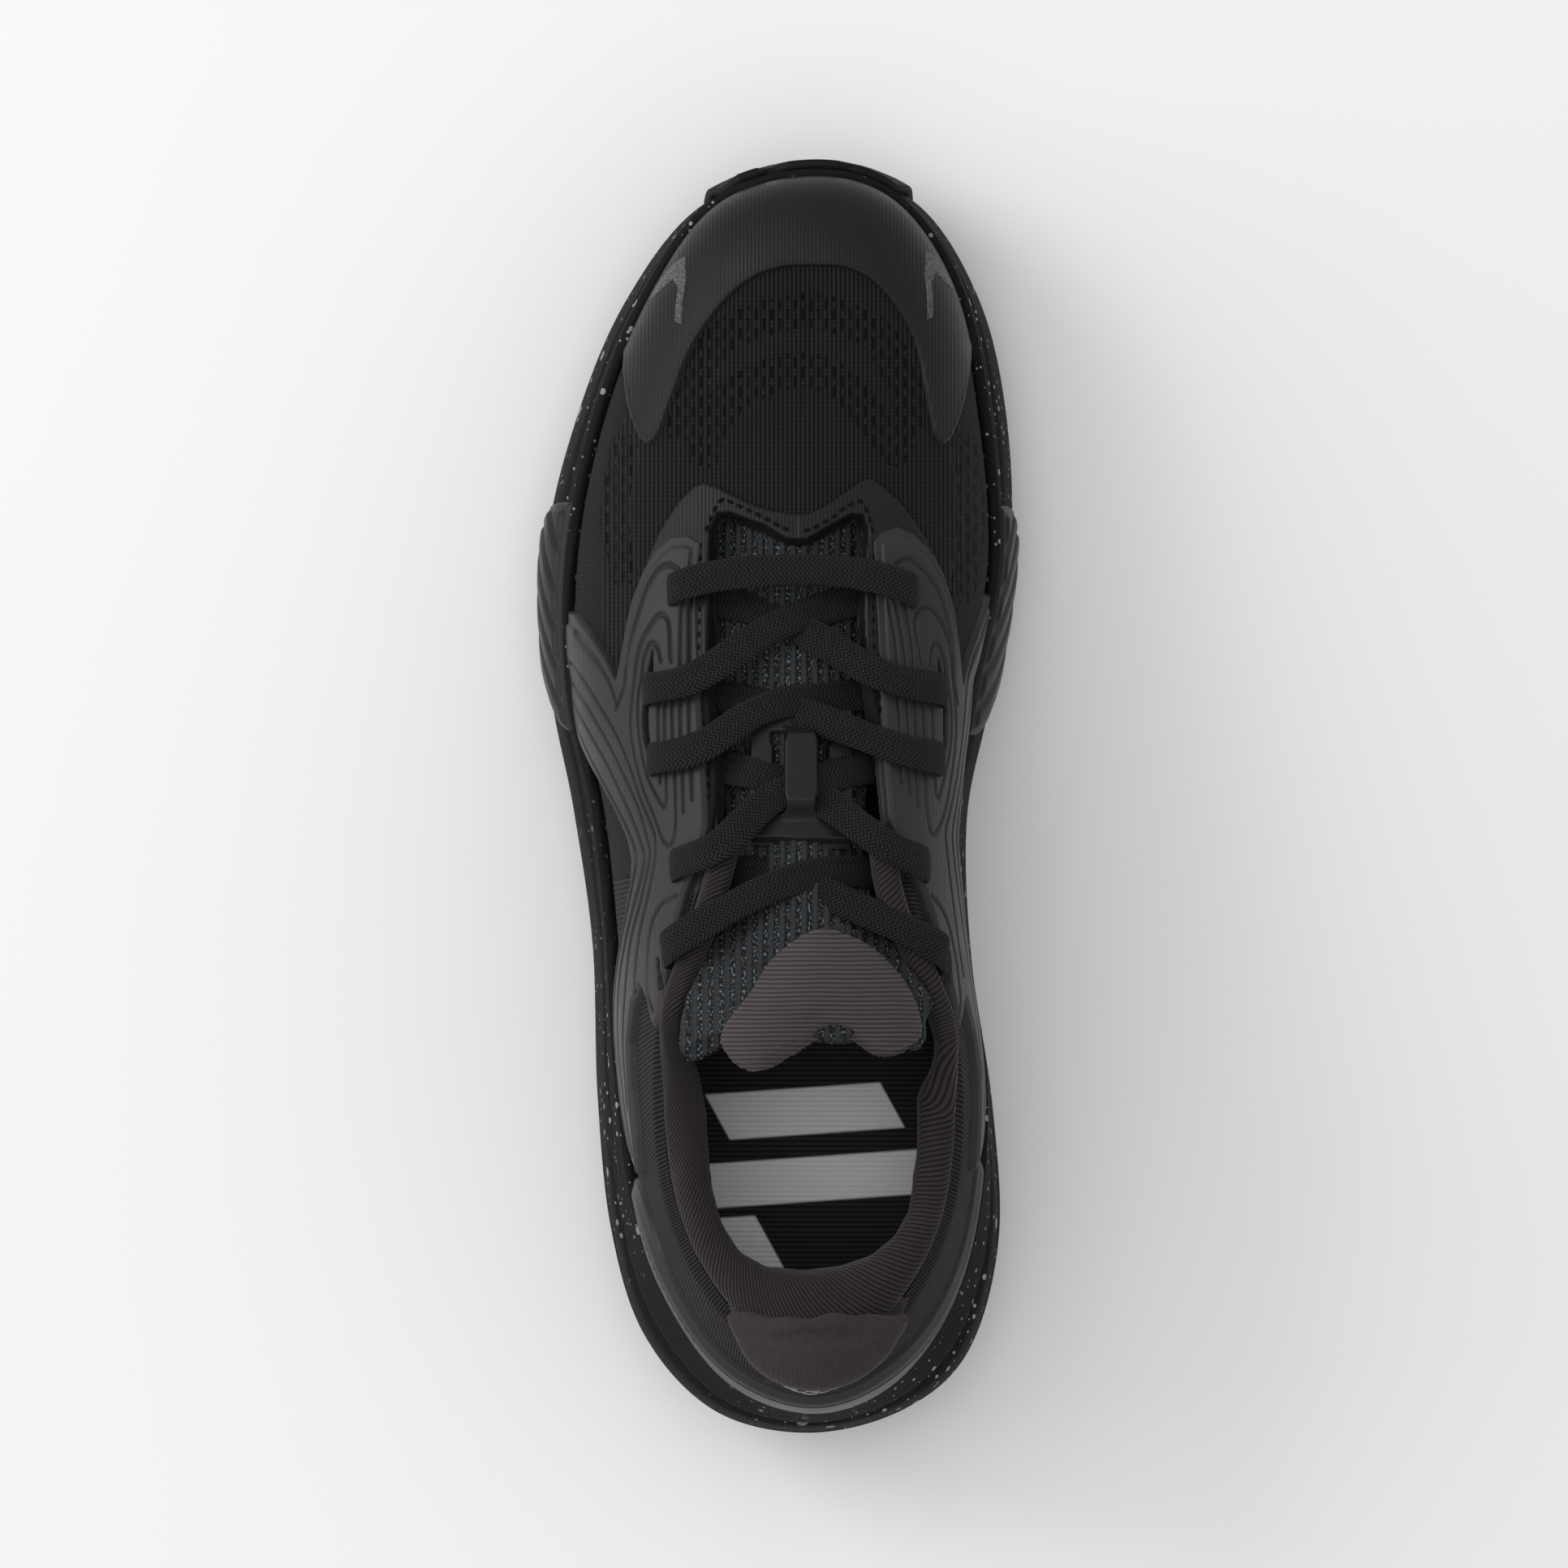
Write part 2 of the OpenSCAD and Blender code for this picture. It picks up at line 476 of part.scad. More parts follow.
// Section of the padded roll. Beside the heel it hugs the wall; beside the tongue it is a free rim.
// Rows 0 to 2 face the mesh, 3 to 5 go over the top, 6 and 7 face the foot.
ROLL_RIM = [[0.05, -2.9], [0.014, -3], [0.01, -1.6], [0.014, 1], [0.05, 2.6], [0.09, 1], [0.095, -1],
    [0.08, -2.6]];
function roll_hug(a, row) =
    let (t = edge_t(a), hug = mesh_in - ply_gap - 0.3, deep = hug - counter_ply - ply_gap, w = collar_roll,
         n = skin_normal(a, t), in = -unit([n[0], n[1], 0]))
    row == 0 ? ply(a, t - 0.26, deep) :
    row == 1 ? ply(a, t - 0.13, deep) :
    row == 2 ? ply(a, t - 0.02, hug) :
    row == 3 ? skin(a, t) + in * 3.4 + [0, 0, roll_rise * 0.45] :
    row == 4 ? skin(a, t) + in * w * 0.55 + [0, 0, roll_rise] :
    row == 5 ? skin(a, t) + in * w + [0, 0, -1] :
    row == 6 ? ply(a, t - 0.11, hug - w * 0.85) : ply(a, t - 0.25, deep - 2.4);
function roll_point(a, row) =
    let (r = ROLL_RIM[row], f = ramp((along(a) - 0.3) / 0.035))
    mix(roll_hug(a, row), ply(a, edge_t(a) + r[0] * collar_roll / 10, r[1]), f);
function roll(a, row, grow) =
    let (p = roll_point(a, row), c = (roll_point(a, 0) + roll_point(a, 4) + roll_point(a, 6)) / 3)
    grow == 0 ? p : p + unit(p - c) * grow;
lining_gap = 0.5;
module collar_foam() {
    ends = len(collar_places) - 1;
    rows = [for (a = collar_places) [for (r = [0 : 7]) roll(a, r, 0)]];
    side = [for (i = [0 : ends - 1]) for (r = [0 : 7])
        let (a = i * 8 + r, b = (i + 1) * 8 + r, c = (i + 1) * 8 + (r + 1) % 8, d = i * 8 + (r + 1) % 8)
        each [[a, b, c], [a, c, d]]];
    caps = [for (r = [1 : 6]) each [[0, r, r + 1], [ends * 8, ends * 8 + r + 1, ends * 8 + r]]];
    color([0.6, 0.58, 0.5])
        polyhedron(points = [for (row = rows) each row], faces = concat(side, caps), convexity = 6);
}
module collar_lining() {
    grid = function(grow) [for (a = collar_places) [for (r = [3 : 7]) roll(a, r, grow)]];
    color([0.34, 0.3, 0.31]) shell(grid(lining_gap + lining_ply), grid(lining_gap));
}
patch_ply = 0.8;
module heel_patch() {
    places = spaced(-0.1, 0.11, 10);
    grid = function(off) [for (a = places)
        [ply(a, 0.4, film_in + off), ply(a, edge_t(a) - 0.01, film_in + off),
         for (r = [3 : 5]) roll(a, r, 2 * lining_gap + lining_ply + off)]];
    color([0.37, 0.33, 0.34]) shell(grid(patch_ply), grid(0));
}
module heel_label() {
    color([0.08, 0.08, 0.08])
        cover(-0.02, 0.02, 3, 2, function(a) 0.345, function(a) 0.39, film_in, film_out);
}

// --- tongue -------------------------------------------------------------------------------------

// Point across the crown line: v is -1 at the medial side of the tongue and 1 at the lateral side
function across(u, v, off) =
    let (a = v <= 0 ? u : 2 - u, t = 1 - abs(v) * (1 - tongue_t(a)), s = ramp(abs(v)))
    ply(a, t, off - mix(tongue_middle, tongue_side, s));
tongue_v = spaced(-1, 1, 10);
module tongue_strip(first, last, count, outer, inner) {
    grid = function(off) [for (u = spaced(first, last, count)) [for (v = tongue_v) across(u, v, off)]];
    shell(grid(outer), grid(inner));
}
cover_ply = 1;
tongue_end = 0.3;
throat_overlap = 0.015;
module tongue_cover() {
    color([0.09, 0.09, 0.1])
        tongue_strip(flex_place + 0.001, throat_end + throat_overlap, 16, 0, -cover_ply);
}
module tongue_foam() {
    color([0.6, 0.58, 0.5])
        tongue_strip(flex_place + 0.001, throat_end + throat_overlap, 16,
                     -cover_ply, -cover_ply - tongue_foam_ply);
}
flex_gap = 0.003;
module tongue_top_cover() {
    color([0.09, 0.09, 0.1])
        tongue_strip(tongue_end, flex_place - flex_gap, 5, 0, -cover_ply);
}
module tongue_top_foam() {
    color([0.6, 0.58, 0.5])
        tongue_strip(tongue_end, flex_place - flex_gap, 5,
                     -cover_ply, -cover_ply - tongue_foam_ply);
}
module tongue_top_patch() {
    grid = function(off) [for (u = spaced(tongue_end - 0.004, flex_place - flex_gap - 0.01, 5))
        [for (v = spaced(-0.7, 0.6, 8)) across(u, v, off)]];
    color([0.38, 0.34, 0.35]) shell(grid(film_in + cover_ply), grid(film_in));
}

// Lace keeper: a plate with two slots and a raised bridge between them
keeper_ply = 1;
bridge_rise = 6;
KEEPER_ROWS = [0.466, 0.479, 0.486, 0.515, 0.543, 0.549, 0.558];
KEEPER_LINES = [13.5, 8, 5.2, 0.8, -1.8, -4.6, -10.5];
function near_crown(u, x, off) =
    let (a = x >= 0 ? u : 2 - u, t = 1 - abs(x) / crown_spread) ply(a, t, off);
module lace_keeper() {
    grid = function(off) [for (i = [0 : 6]) [for (j = [0 : 6])
        near_crown(KEEPER_ROWS[i], KEEPER_LINES[j],
            off - tongue_middle + 0.5 + (i > 1 && i < 5 && j > 1 && j < 5 ? bridge_rise : 0))]];
    color([0.18, 0.18, 0.18])
        shell(grid(keeper_ply), grid(0), function(i, j) !(i > 0 && i < 5 && (j == 1 || j == 4)));
}

// --- lace ---------------------------------------------------------------------------------------

// Middle of the lace from its medial end through all eyelets to its lateral end
LACE_ROUTE = [
    // tail, medial end
    [10, 8.5, 74.5], [9.5, -6.5, 79], [10, -22.5, 83.5], [11, -33, 85.5], [19, -37, 88.5], [25, -38, 91],
    // row 5 eyelet, medial end
    [29.5, -38, 86.5], [32.5, -38, 84.5], [39, -37.5, 89], [39, -36.5, 92],
    // row 5, medial end
    [38.5, -34.5, 95.5], [32, -31.5, 100.5], [1.5, -17, 98], [-7, -16.5, 92.5], [-11.5, -17, 89],
    // row 4 eyelet, medial end
    [-18.5, -17, 84], [-21, -16.5, 83.5], [-26.5, -15.5, 89], [-25.5, -15, 92],
    // row 4, medial end
    [-18.5, -12.5, 99], [-11.5, -10.5, 100.5], [-5.5, 0, 92.5], [5, 4.5, 91.5], [11.5, 5.5, 90], [15.5, 7, 88], [20, 8, 83], [25, 8.5, 77],
    // row 3 eyelet, medial end
    [30.5, 8.5, 72], [33, 9, 71], [39, 9.5, 75], [39, 10, 77.5],
    // row 3, medial end
    [34, 11, 84], [27, 12, 88.5], [12.5, 18.5, 86.5], [-2, 23.5, 82.5], [-12.5, 24.5, 77.5],
    // row 2 eyelet, medial end
    [-25.5, 25, 70], [-28, 25.5, 69.5], [-33, 26.5, 75.5], [-31.5, 26.5, 78],
    // row 2, medial end
    [-25.5, 27.5, 82], [-19, 28.5, 84.5], [-8.5, 37, 81.5], [1.5, 43.5, 79], [16, 47.5, 71.5],
    // row 1 eyelet, medial end
    [27, 48, 67], [29.5, 48, 67], [33, 49.5, 73.5], [31.5, 49.5, 76],
    // row 1
    [26.5, 52.5, 79], [14, 55, 79], [-5, 55, 79], [-21, 52.5, 79],
    // row 1 eyelet, lateral end
    [-25, 50, 76.5], [-27, 50, 74], [-24, 48.5, 67.5], [-21, 48, 67.5],
    // row 2, lateral end
    [-12, 47.5, 71], [1.5, 43, 77], [12.5, 36.5, 81], [23.5, 28.5, 85], [32.5, 27.5, 80.5],
    // row 2 eyelet, lateral end
    [39.5, 26.5, 74], [40, 26, 71], [34, 25.5, 67], [32, 25.5, 67.5],
    // row 3, lateral end
    [17, 24.5, 78], [-2, 24.5, 84.5], [-9.5, 19, 86.5], [-17.5, 12, 89.5], [-25, 11, 86.5],
    // row 3 eyelet, lateral end
    [-30.5, 10, 81.5], [-32, 9.5, 78.5], [-26.5, 9, 73.5], [-24, 9, 74.5],
    // row 4, lateral end
    [-11, 8, 83.5], [-6.5, 6.5, 89], [-3, 5.5, 89.5], [4.5, 3.5, 89.5], [9.5, 2, 91], [23, -10.5, 99], [30, -12.5, 96.5],
    // row 4 eyelet, lateral end
    [35, -15, 89.5], [36, -15.5, 87], [29.5, -17, 82], [27.5, -17, 83],
    // row 5, lateral end
    [21.5, -17, 88], [18, -16.5, 91.5], [1.5, -16, 100], [-20, -30.5, 103], [-26.5, -33.5, 98.5],
    // row 5 eyelet, lateral end
    [-27, -35.5, 95.5], [-28, -36, 92.5], [-21.5, -36.5, 87.5], [-19, -36.5, 89],
    // tail, lateral end
    [-13.5, -36.5, 92.5], [-8, -36, 89.5], [-2, -32.5, 85.5], [-2, -22, 83.5], [-2, -6.5, 79], [-3, 9, 74.5]
];
// The moulded tip on each end, from the lace to its free end
TIPS = [[[10, 13, 73], [10.5, 36.5, 66]],
    [[-3, 13, 73], [-3.5, 36.5, 66]]];
tip_width = 3.4;
tip_ply = 2.2;
LACE_SECTION = [[1, 0], [0.86, 1], [0, 1], [-0.86, 1], [-1, 0], [-0.86, -1], [0, -1], [0.86, -1]];

// Flat ribbon along a list of points. Its width lies across the way it runs, on the slope of the instep.
instep_slope = 0.36;
module ribbon(route, width, thickness) {
    n = len(route) - 1;
    sides = len(LACE_SECTION);
    ring = function(i)
        let (t = unit(route[min(n, i + 1)] - route[max(0, i - 1)]), turn = t[0] < 0 ? -1 : 1,
             c = abs(t[0]) + abs(t[2]), w = unit([-t[1] * turn, c, -instep_slope * c]),
             level = unit(w - t * (w * t)),
             up = cross(t, level))
        [for (s = LACE_SECTION) route[i] + level * s[0] * width / 2 + up * s[1] * thickness / 2];
    walls = [for (i = [0 : n - 1]) for (k = [0 : sides - 1])
        let (a = i * sides + k, b = i * sides + (k + 1) % sides)
        each [[a, b, b + sides], [a, b + sides, a + sides]]];
    caps = [for (k = [1 : sides - 2]) each
        [[0, k + 1, k], [n * sides, n * sides + k, n * sides + k + 1]]];
    polyhedron(points = [for (i = [0 : n]) each ring(i)], faces = concat(walls, caps), convexity = 10);
}
module lace() { color([0.08, 0.08, 0.08]) ribbon(LACE_ROUTE, lace_width, lace_ply); }
module lace_tips() {
    color([0.05, 0.05, 0.05])
        for (tip = TIPS)
            ribbon(tip, tip_width, tip_ply);
}

midsole_foam();
outsole_toe();
outsole_forefoot_lateral();
outsole_forefoot_medial();
outsole_heel_lateral();
outsole_heel_medial();
outsole_heel_edge();
saddle_lateral();
saddle_medial();
strobel_board();
vamp_mesh();
vamp_lining();
toe_puff();
toe_cap_film();
toe_reflectors();
throat_film();
quarter_mesh_lateral();
quarter_mesh_medial();
heel_counter();
heel_clip();
eyestay_lateral();
eyestay_medial();
eyestay_tape_lateral();
eyestay_tape_medial();
collar_foam();
collar_lining();
heel_patch();
heel_label();
tongue_cover();
tongue_foam();
lace_keeper();
lace();
lace_tips();
tongue_top_cover();
tongue_top_foam();
tongue_top_patch();
insole_foam();
insole_cloth();
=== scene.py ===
import math

import bmesh
import bpy
import numpy as np
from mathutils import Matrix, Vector
from mathutils.kdtree import KDTree


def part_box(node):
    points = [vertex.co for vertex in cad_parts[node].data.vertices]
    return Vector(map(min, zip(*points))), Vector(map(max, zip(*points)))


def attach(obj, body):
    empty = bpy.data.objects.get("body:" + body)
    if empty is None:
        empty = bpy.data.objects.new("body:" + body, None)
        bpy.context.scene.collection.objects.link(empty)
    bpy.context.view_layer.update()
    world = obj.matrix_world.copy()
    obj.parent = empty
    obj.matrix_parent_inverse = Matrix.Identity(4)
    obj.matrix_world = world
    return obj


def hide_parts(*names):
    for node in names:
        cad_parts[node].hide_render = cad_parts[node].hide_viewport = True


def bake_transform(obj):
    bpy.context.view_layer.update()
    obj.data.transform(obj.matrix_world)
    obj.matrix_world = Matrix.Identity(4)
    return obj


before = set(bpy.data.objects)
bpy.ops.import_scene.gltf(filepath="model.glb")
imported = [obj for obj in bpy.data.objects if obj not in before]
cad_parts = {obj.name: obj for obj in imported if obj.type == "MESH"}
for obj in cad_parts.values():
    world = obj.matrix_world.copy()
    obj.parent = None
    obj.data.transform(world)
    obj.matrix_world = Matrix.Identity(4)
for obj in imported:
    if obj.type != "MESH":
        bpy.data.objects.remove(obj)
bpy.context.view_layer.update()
MM = 0.001

# --- driving sizes, in mm ---------------------------------------------------------------------

FOAM_LOW, FOAM_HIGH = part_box("midsole_foam")
DRAWN_LENGTH = 300
LONG = (FOAM_HIGH.y - FOAM_LOW.y) / MM / DRAWN_LENGTH
WIDE = LONG
HEEL_WALL = 56
TOE_WALL = 34
HEEL_STACK = 34
BALL_STACK = 24
TREAD = 4
TOE_SPRING = 9
HEEL_BEVEL = 6
CROWN_HEIGHT = 118
TOE_BOX_HEIGHT = 59
LACE_WIDTH = 7.9
LACE_PLY = 1.7
GRAIN = 0.55

# Stations run from the middle of the heel (0) to the tip of the toe (12)
STEPS = 12
SEAM_LATERAL = [[7.5, -142.4], [-11.5, -135.3], [-26, -115], [-33, -93], [-37, -62], [-38.7, -32],
    [-42, -2], [-48, 27], [-48.2, 58], [-42, 90], [-30.5, 119], [-14.5, 140.7], [8, 147.3]]
SEAM_MEDIAL = [[7.5, -142.4], [25, -136.5], [38, -120], [45, -97], [46.5, -66], [41, -32], [39.5, -2],
    [43.5, 27], [49.5, 57], [47.5, 90], [41, 121], [27, 141.5], [8, 147.3]]
SOLE_LATERAL = [[7, -150], [-15.5, -144.7], [-32, -127], [-40, -102], [-43.3, -70], [-44.5, -34], [-49, -2],
    [-54.5, 27], [-55.5, 60], [-48.3, 91], [-36.5, 119], [-18.5, 141.5], [8, 150]]
SOLE_MEDIAL = [[7, -150], [29.5, -144.4], [44.8, -130.5], [52, -104], [50.5, -72], [45.5, -37], [44.5, -4],
    [50, 24], [55, 58], [53.8, 92], [47, 120], [32, 142.3], [8, 150]]
CROWN = [[7.5, -100, 1], [7, -93, 1], [6.5, -82, 1.017], [6, -66, 1.008], [5, -46, 0.932], [4, -24, 0.763],
    [3.5, 0, 0.586], [3.5, 27, 0.426], [4, 55, 0.29], [5, 80, 0.172], [6.5, 99, 0.079], [7.5, 111, 0.02],
    [8, 115, 0]]
WALL_SHARE = [1, 0.93, 0.77, 0.59, 0.41, 0.27, 0.18, 0.09, 0.02, -0.02, 0.05, 0.18, 0.27]
BED_SHARE = [1, 1, 1, 0.97, 0.85, 0.65, 0.42, 0.2, 0.05, 0, 0.06, 0.2, 0.35]
FAN = [-90, -52, -20, -5, 0, 0, 0, 0, 0, 6, 22, 52, 90]
RISE = [26, 27, 30, 32, 34, 34, 33, 30, 26, 21, 16, 13, 12]
LEAN_LATERAL = [3, 2.5, 2, 1, 0, 0, 0, 0, 0, 0.5, 1, 1.5, 1.5]
LEAN_MEDIAL = [3, 2.5, 2, 1, 2, 6, 7, 5, 2, 1, 1, 1.5, 1.5]
REACH_LATERAL = [30, 30, 30, 29, 28, 27, 26, 27, 28, 27, 25, 23, 22]
REACH_MEDIAL = [30, 30, 30, 30, 30, 29, 28, 27, 27, 27, 25, 23, 22]
EDGE_LATERAL = [0.54, 0.51, 0.45, 0.4, 0.46, 0.65, 0.745, 0.74, 0.745, 0.72, 0.68, 0.64, 0.62]
EDGE_MEDIAL = [0.54, 0.49, 0.42, 0.345, 0.39, 0.62, 0.68, 0.765, 0.79, 0.75, 0.7, 0.64, 0.62]
TONGUE_LATERAL = [0.7, 0.7, 0.7, 0.7, 0.72, 0.76, 0.75, 0.7, 0.68, 0.69, 0.7, 0.7, 0.7]
TONGUE_MEDIAL = [0.7, 0.7, 0.7, 0.7, 0.68, 0.74, 0.74, 0.72, 0.72, 0.73, 0.7, 0.7, 0.7]

# --- shape of the shoe ------------------------------------------------------------------------


def ramp(x):
    """Smooth step from 0 to 1 as x goes from 0 to 1."""
    c = np.clip(x, 0, 1)
    return c * c * (3 - 2 * c)


def mix(p, q, f):
    return p + (q - p) * f


def unit(v):
    return v / np.maximum(np.linalg.norm(v, axis=-1, keepdims=True), 1e-12)


def along(a):
    """Share of the shoe's length, heel to toe, at places a."""
    return np.where(a < 0, -a, np.where(a > 1, 2 - a, a))


def is_medial(a):
    return (a >= 0) & (a <= 1)


def spline(a, b, c, d, f):
    """Catmull-Rom point between b and c at share f."""
    return 0.5 * (2 * b + (c - a) * f + (2 * a - 5 * b + 4 * c - d) * f**2 + (d - a + 3 * b - 3 * c) * f**3)


def at(values, other, u, before=None, after=None):
    """Catmull-Rom value of a station list at share u, met by the other side's list at both ends."""
    p = np.asarray(values, float)
    q = np.asarray(other, float)
    first = q[1] if before is None else before
    last = q[STEPS - 1] if after is None else after
    p = np.concatenate([[first], p, [last]])
    x = np.clip(u, 0, 1) * STEPS
    i = np.minimum(np.floor(x).astype(int), STEPS - 1)
    f = x - i
    if p.ndim == 2:
        f = f[..., None]
    return spline(p[i], p[i + 1], p[i + 2], p[i + 3], f)


def pick(a, lateral, medial):
    """Values of the two sides' station lists at places a."""
    u = along(a)
    m = is_medial(a)
    one = at(medial, lateral, u)
    two = at(lateral, medial, u)
    return np.where(m[..., None] if one.ndim > m.ndim else m, one, two)


def same(a, values):
    return at(values, values, along(a))


def plan(p, z):
    """Points with the x and y of p at height z."""
    return np.concatenate([p[..., :2], np.broadcast_to(z, p.shape[:-1])[..., None]], -1)


def wall_z(a):
    return TOE_WALL + (HEEL_WALL - TOE_WALL) * same(a, WALL_SHARE)


def bed_z(a):
    return BALL_STACK + (HEEL_STACK - BALL_STACK) * same(a, BED_SHARE)


def seam(a):
    return pick(a, SEAM_LATERAL, SEAM_MEDIAL) * [WIDE, LONG]


def sole(a):
    return pick(a, SOLE_LATERAL, SOLE_MEDIAL) * [WIDE, LONG]


def out_of(a):
    """Level direction out of the seam at places a."""
    d = seam(np.minimum(2, a + 0.01)) - seam(np.maximum(-1, a - 0.01))
    return unit(np.stack([d[..., 1], -d[..., 0], 0 * d[..., 0]], -1))


def crown(a):
    p = same(a, CROWN)
    z = TOE_BOX_HEIGHT + (CROWN_HEIGHT - TOE_BOX_HEIGHT) * p[..., 2]
    return np.stack([p[..., 0] * WIDE, p[..., 1] * LONG, z], -1)


def fan(a):
    """Level direction from the crown to the seam at places a."""
    angle = np.radians(at(FAN, FAN, along(a), 2 * FAN[0] - FAN[1], 2 * FAN[-1] - FAN[-2]))
    side = np.where(is_medial(a), 1, -1)
    return np.stack([side * np.cos(angle), np.sin(angle), 0 * angle], -1)


def bed_edge(a):
    return plan(seam(a), bed_z(a)) - out_of(a) * 4


def skin(a, t):
    """Skin of the upper: t is 0 at the seam, 1 on the crown line and -1 at the foot bed."""
    base = plan(seam(a), wall_z(a))
    low = base + fan(a) * pick(a, LEAN_LATERAL, LEAN_MEDIAL)[..., None]
    low[..., 2] += same(a, RISE)
    top = crown(a)
    high = top + fan(a) * pick(a, REACH_LATERAL, REACH_MEDIAL)[..., None]
    s = (1 - t)[..., None]
    r = t[..., None]
    rib = base * s**3 + low * 3 * s * s * r + high * 3 * s * r * r + top * r**3
    inside = mix(base, bed_edge(a), -r)
    return np.where(r < 0, inside, rib)


def skin_normal(a, t):
    t = np.minimum(t, 0.99)
    h = 0.004
    across_rib = skin(a + h, t) - skin(a - h, t)
    up_rib = skin(a, np.minimum(1, t + h)) - skin(a, np.maximum(0, t - h))
    n = unit(np.cross(across_rib, up_rib))
    return np.where((t < 0)[..., None], out_of(a), n)


def ply(a, t, off):
    """Points off mm outside the skin."""
    a, t, off = np.broadcast_arrays(np.asarray(a, float), np.asarray(t, float), np.asarray(off, float))
    return skin(a, t) + skin_normal(a, t) * off[..., None]


def edge_t(a):
    return pick(a, EDGE_LATERAL, EDGE_MEDIAL)


def tongue_t(a):
    return pick(a, TONGUE_LATERAL, TONGUE_MEDIAL)


def across(u, v, off):
    """Point on the tongue: v is -1 at its medial side and 1 at its lateral side."""
    a = np.where(v <= 0, u, 2 - u)
    t = 1 - np.abs(v) * (1 - tongue_t(a))
    return ply(a, t, off - mix(4.6, 8.6, ramp(np.abs(v))))


def near_crown(u, x, off):
    """Point x mm sideways of the crown line at share u, off mm outside the skin."""
    a = np.where(x >= 0, u, 2 - u)
    return ply(a, 1 - np.abs(x) / 81, off)


def foam_floor(y):
    toe = np.maximum(0, (y / LONG - 75) / 75)
    heel = np.maximum(0, (-y / LONG - 122) / 28)
    return TREAD + TOE_SPRING * toe**2 + HEEL_BEVEL * heel**2


def middle(a, z=0.0, draw=0.12):
    """Points on the middle line of the sole, drawn in from its two ends."""
    u = draw + along(a) * (1 - 2 * draw)
    return plan((seam(u) + seam(2 - u)) / 2, z)


# --- pattern space: mm along and up the skin, for outlines and grooves ---------------------------

SPAN_A = 310
SPAN_T = 92


def pattern(a, t):
    """Pattern points in mm at places a and shares t."""
    return np.stack([a * SPAN_A, t * SPAN_T], -1)


def sided(points, side):
    """Points of the medial side, or their places on the lateral side."""
    return [(s if side > 0 else 2 - s, t) for s, t in points]


def place_of(s, side):
    """Place round the shoe at share s of its length on one side."""
    return s if side > 0 else 2 - s


def span_of(first, last, side):
    """The same two places in rising order on either side."""
    return sorted([place_of(first, side), place_of(last, side)])


def side_name(stem, side):
    return stem + ("_medial" if side > 0 else "_lateral")


def curve(points, closed=False, count=6):
    """Smooth line through points."""
    p = np.asarray(points, float)
    n = len(p)
    if closed:
        pad = np.concatenate([p[-1:], p, p[:2]])
        spans = n
    else:
        pad = np.concatenate([2 * p[:1] - p[1:2], p, 2 * p[-1:] - p[-2:-1]])
        spans = n - 1
    rows = []
    for i in range(spans):
        for f in np.arange(count) / count:
            rows.append(spline(*pad[i:i + 4], f))
    if not closed:
        rows.append(p[-1])
    return np.array(rows)


def to_line(p, line):
    """Distance in mm from pattern points to a line of (a, t) points."""
    q = np.asarray(line) * [SPAN_A, SPAN_T]
    best = np.full(p.shape[:-1], 1e9)
    for s, e in zip(q[:-1], q[1:]):
        d = e - s
        f = np.clip(((p - s) @ d) / max(d @ d, 1e-9), 0, 1)
        best = np.minimum(best, np.linalg.norm(p - s - f[..., None] * d, axis=-1))
    return best


def inside(p, outline):
    """Signed distance in mm to a closed outline of (a, t) points, positive inside."""
    q = np.asarray(outline) * [SPAN_A, SPAN_T]
    ring = np.concatenate([q, q[:1]])
    odd = np.zeros(p.shape[:-1], bool)
    for s, e in zip(ring[:-1], ring[1:]):
        crosses = (s[1] > p[..., 1]) != (e[1] > p[..., 1])
        rise = e[1] - s[1] if e[1] != s[1] else 1e-9
        odd ^= crosses & (p[..., 0] < (e[0] - s[0]) * (p[..., 1] - s[1]) / rise + s[0])
    d = to_line(p, ring / [SPAN_A, SPAN_T])
    return np.where(odd, d, -d)


def crowned(f):
    """Height of a quarter circle at share f of its radius."""
    f = np.clip(f, 0, 1)
    return np.sqrt(f * (2 - f))


def groove(d, width, depth):
    return -depth * np.exp(-((d / width) ** 2))


# --- mesh building ------------------------------------------------------------------------------


def linked(name, data):
    """New object in the scene from a mesh, light or camera."""
    obj = bpy.data.objects.new(name, data)
    bpy.context.scene.collection.objects.link(obj)
    return obj


def smooth_object(name, mesh):
    mesh.polygons.foreach_set("use_smooth", np.ones(len(mesh.polygons), bool))
    return linked(name, mesh)


def lay_uvs(mesh, flat):
    """Writes coordinates in metres, one pair per point, as the layer that materials read."""
    index = np.zeros(len(mesh.loops), np.int32)
    mesh.loops.foreach_get("vertex_index", index)
    mesh.uv_layers.new(name="skin").data.foreach_set("uv", flat[index].astype(np.float32).ravel())


def grid(*axes):
    return np.meshgrid(*axes, indexing="ij")


def new_mesh(name, points, faces, uvs=None, marks=None):
    """Blender object from points in mm; uvs and marks are per point."""
    mesh = bpy.data.meshes.new(name)
    points = np.asarray(points, np.float32).reshape(-1, 3) * MM
    faces = np.asarray(faces, np.int32)
    mesh.vertices.add(len(points))
    mesh.vertices.foreach_set("co", points.ravel())
    size = faces.shape[1]
    mesh.loops.add(faces.size)
    mesh.loops.foreach_set("vertex_index", faces.ravel())
    mesh.polygons.add(len(faces))
    mesh.polygons.foreach_set("loop_start", np.arange(0, faces.size, size, dtype=np.int32))
    mesh.update(calc_edges=True)
    mesh.validate()
    if uvs is not None:
        lay_uvs(mesh, np.asarray(uvs, np.float32).reshape(-1, 2) * MM)
    if marks is not None:
        layer = mesh.attributes.new("mark", "FLOAT", "POINT")
        layer.data.foreach_set("value", np.asarray(marks, np.float32).ravel())
    return smooth_object(name, mesh)


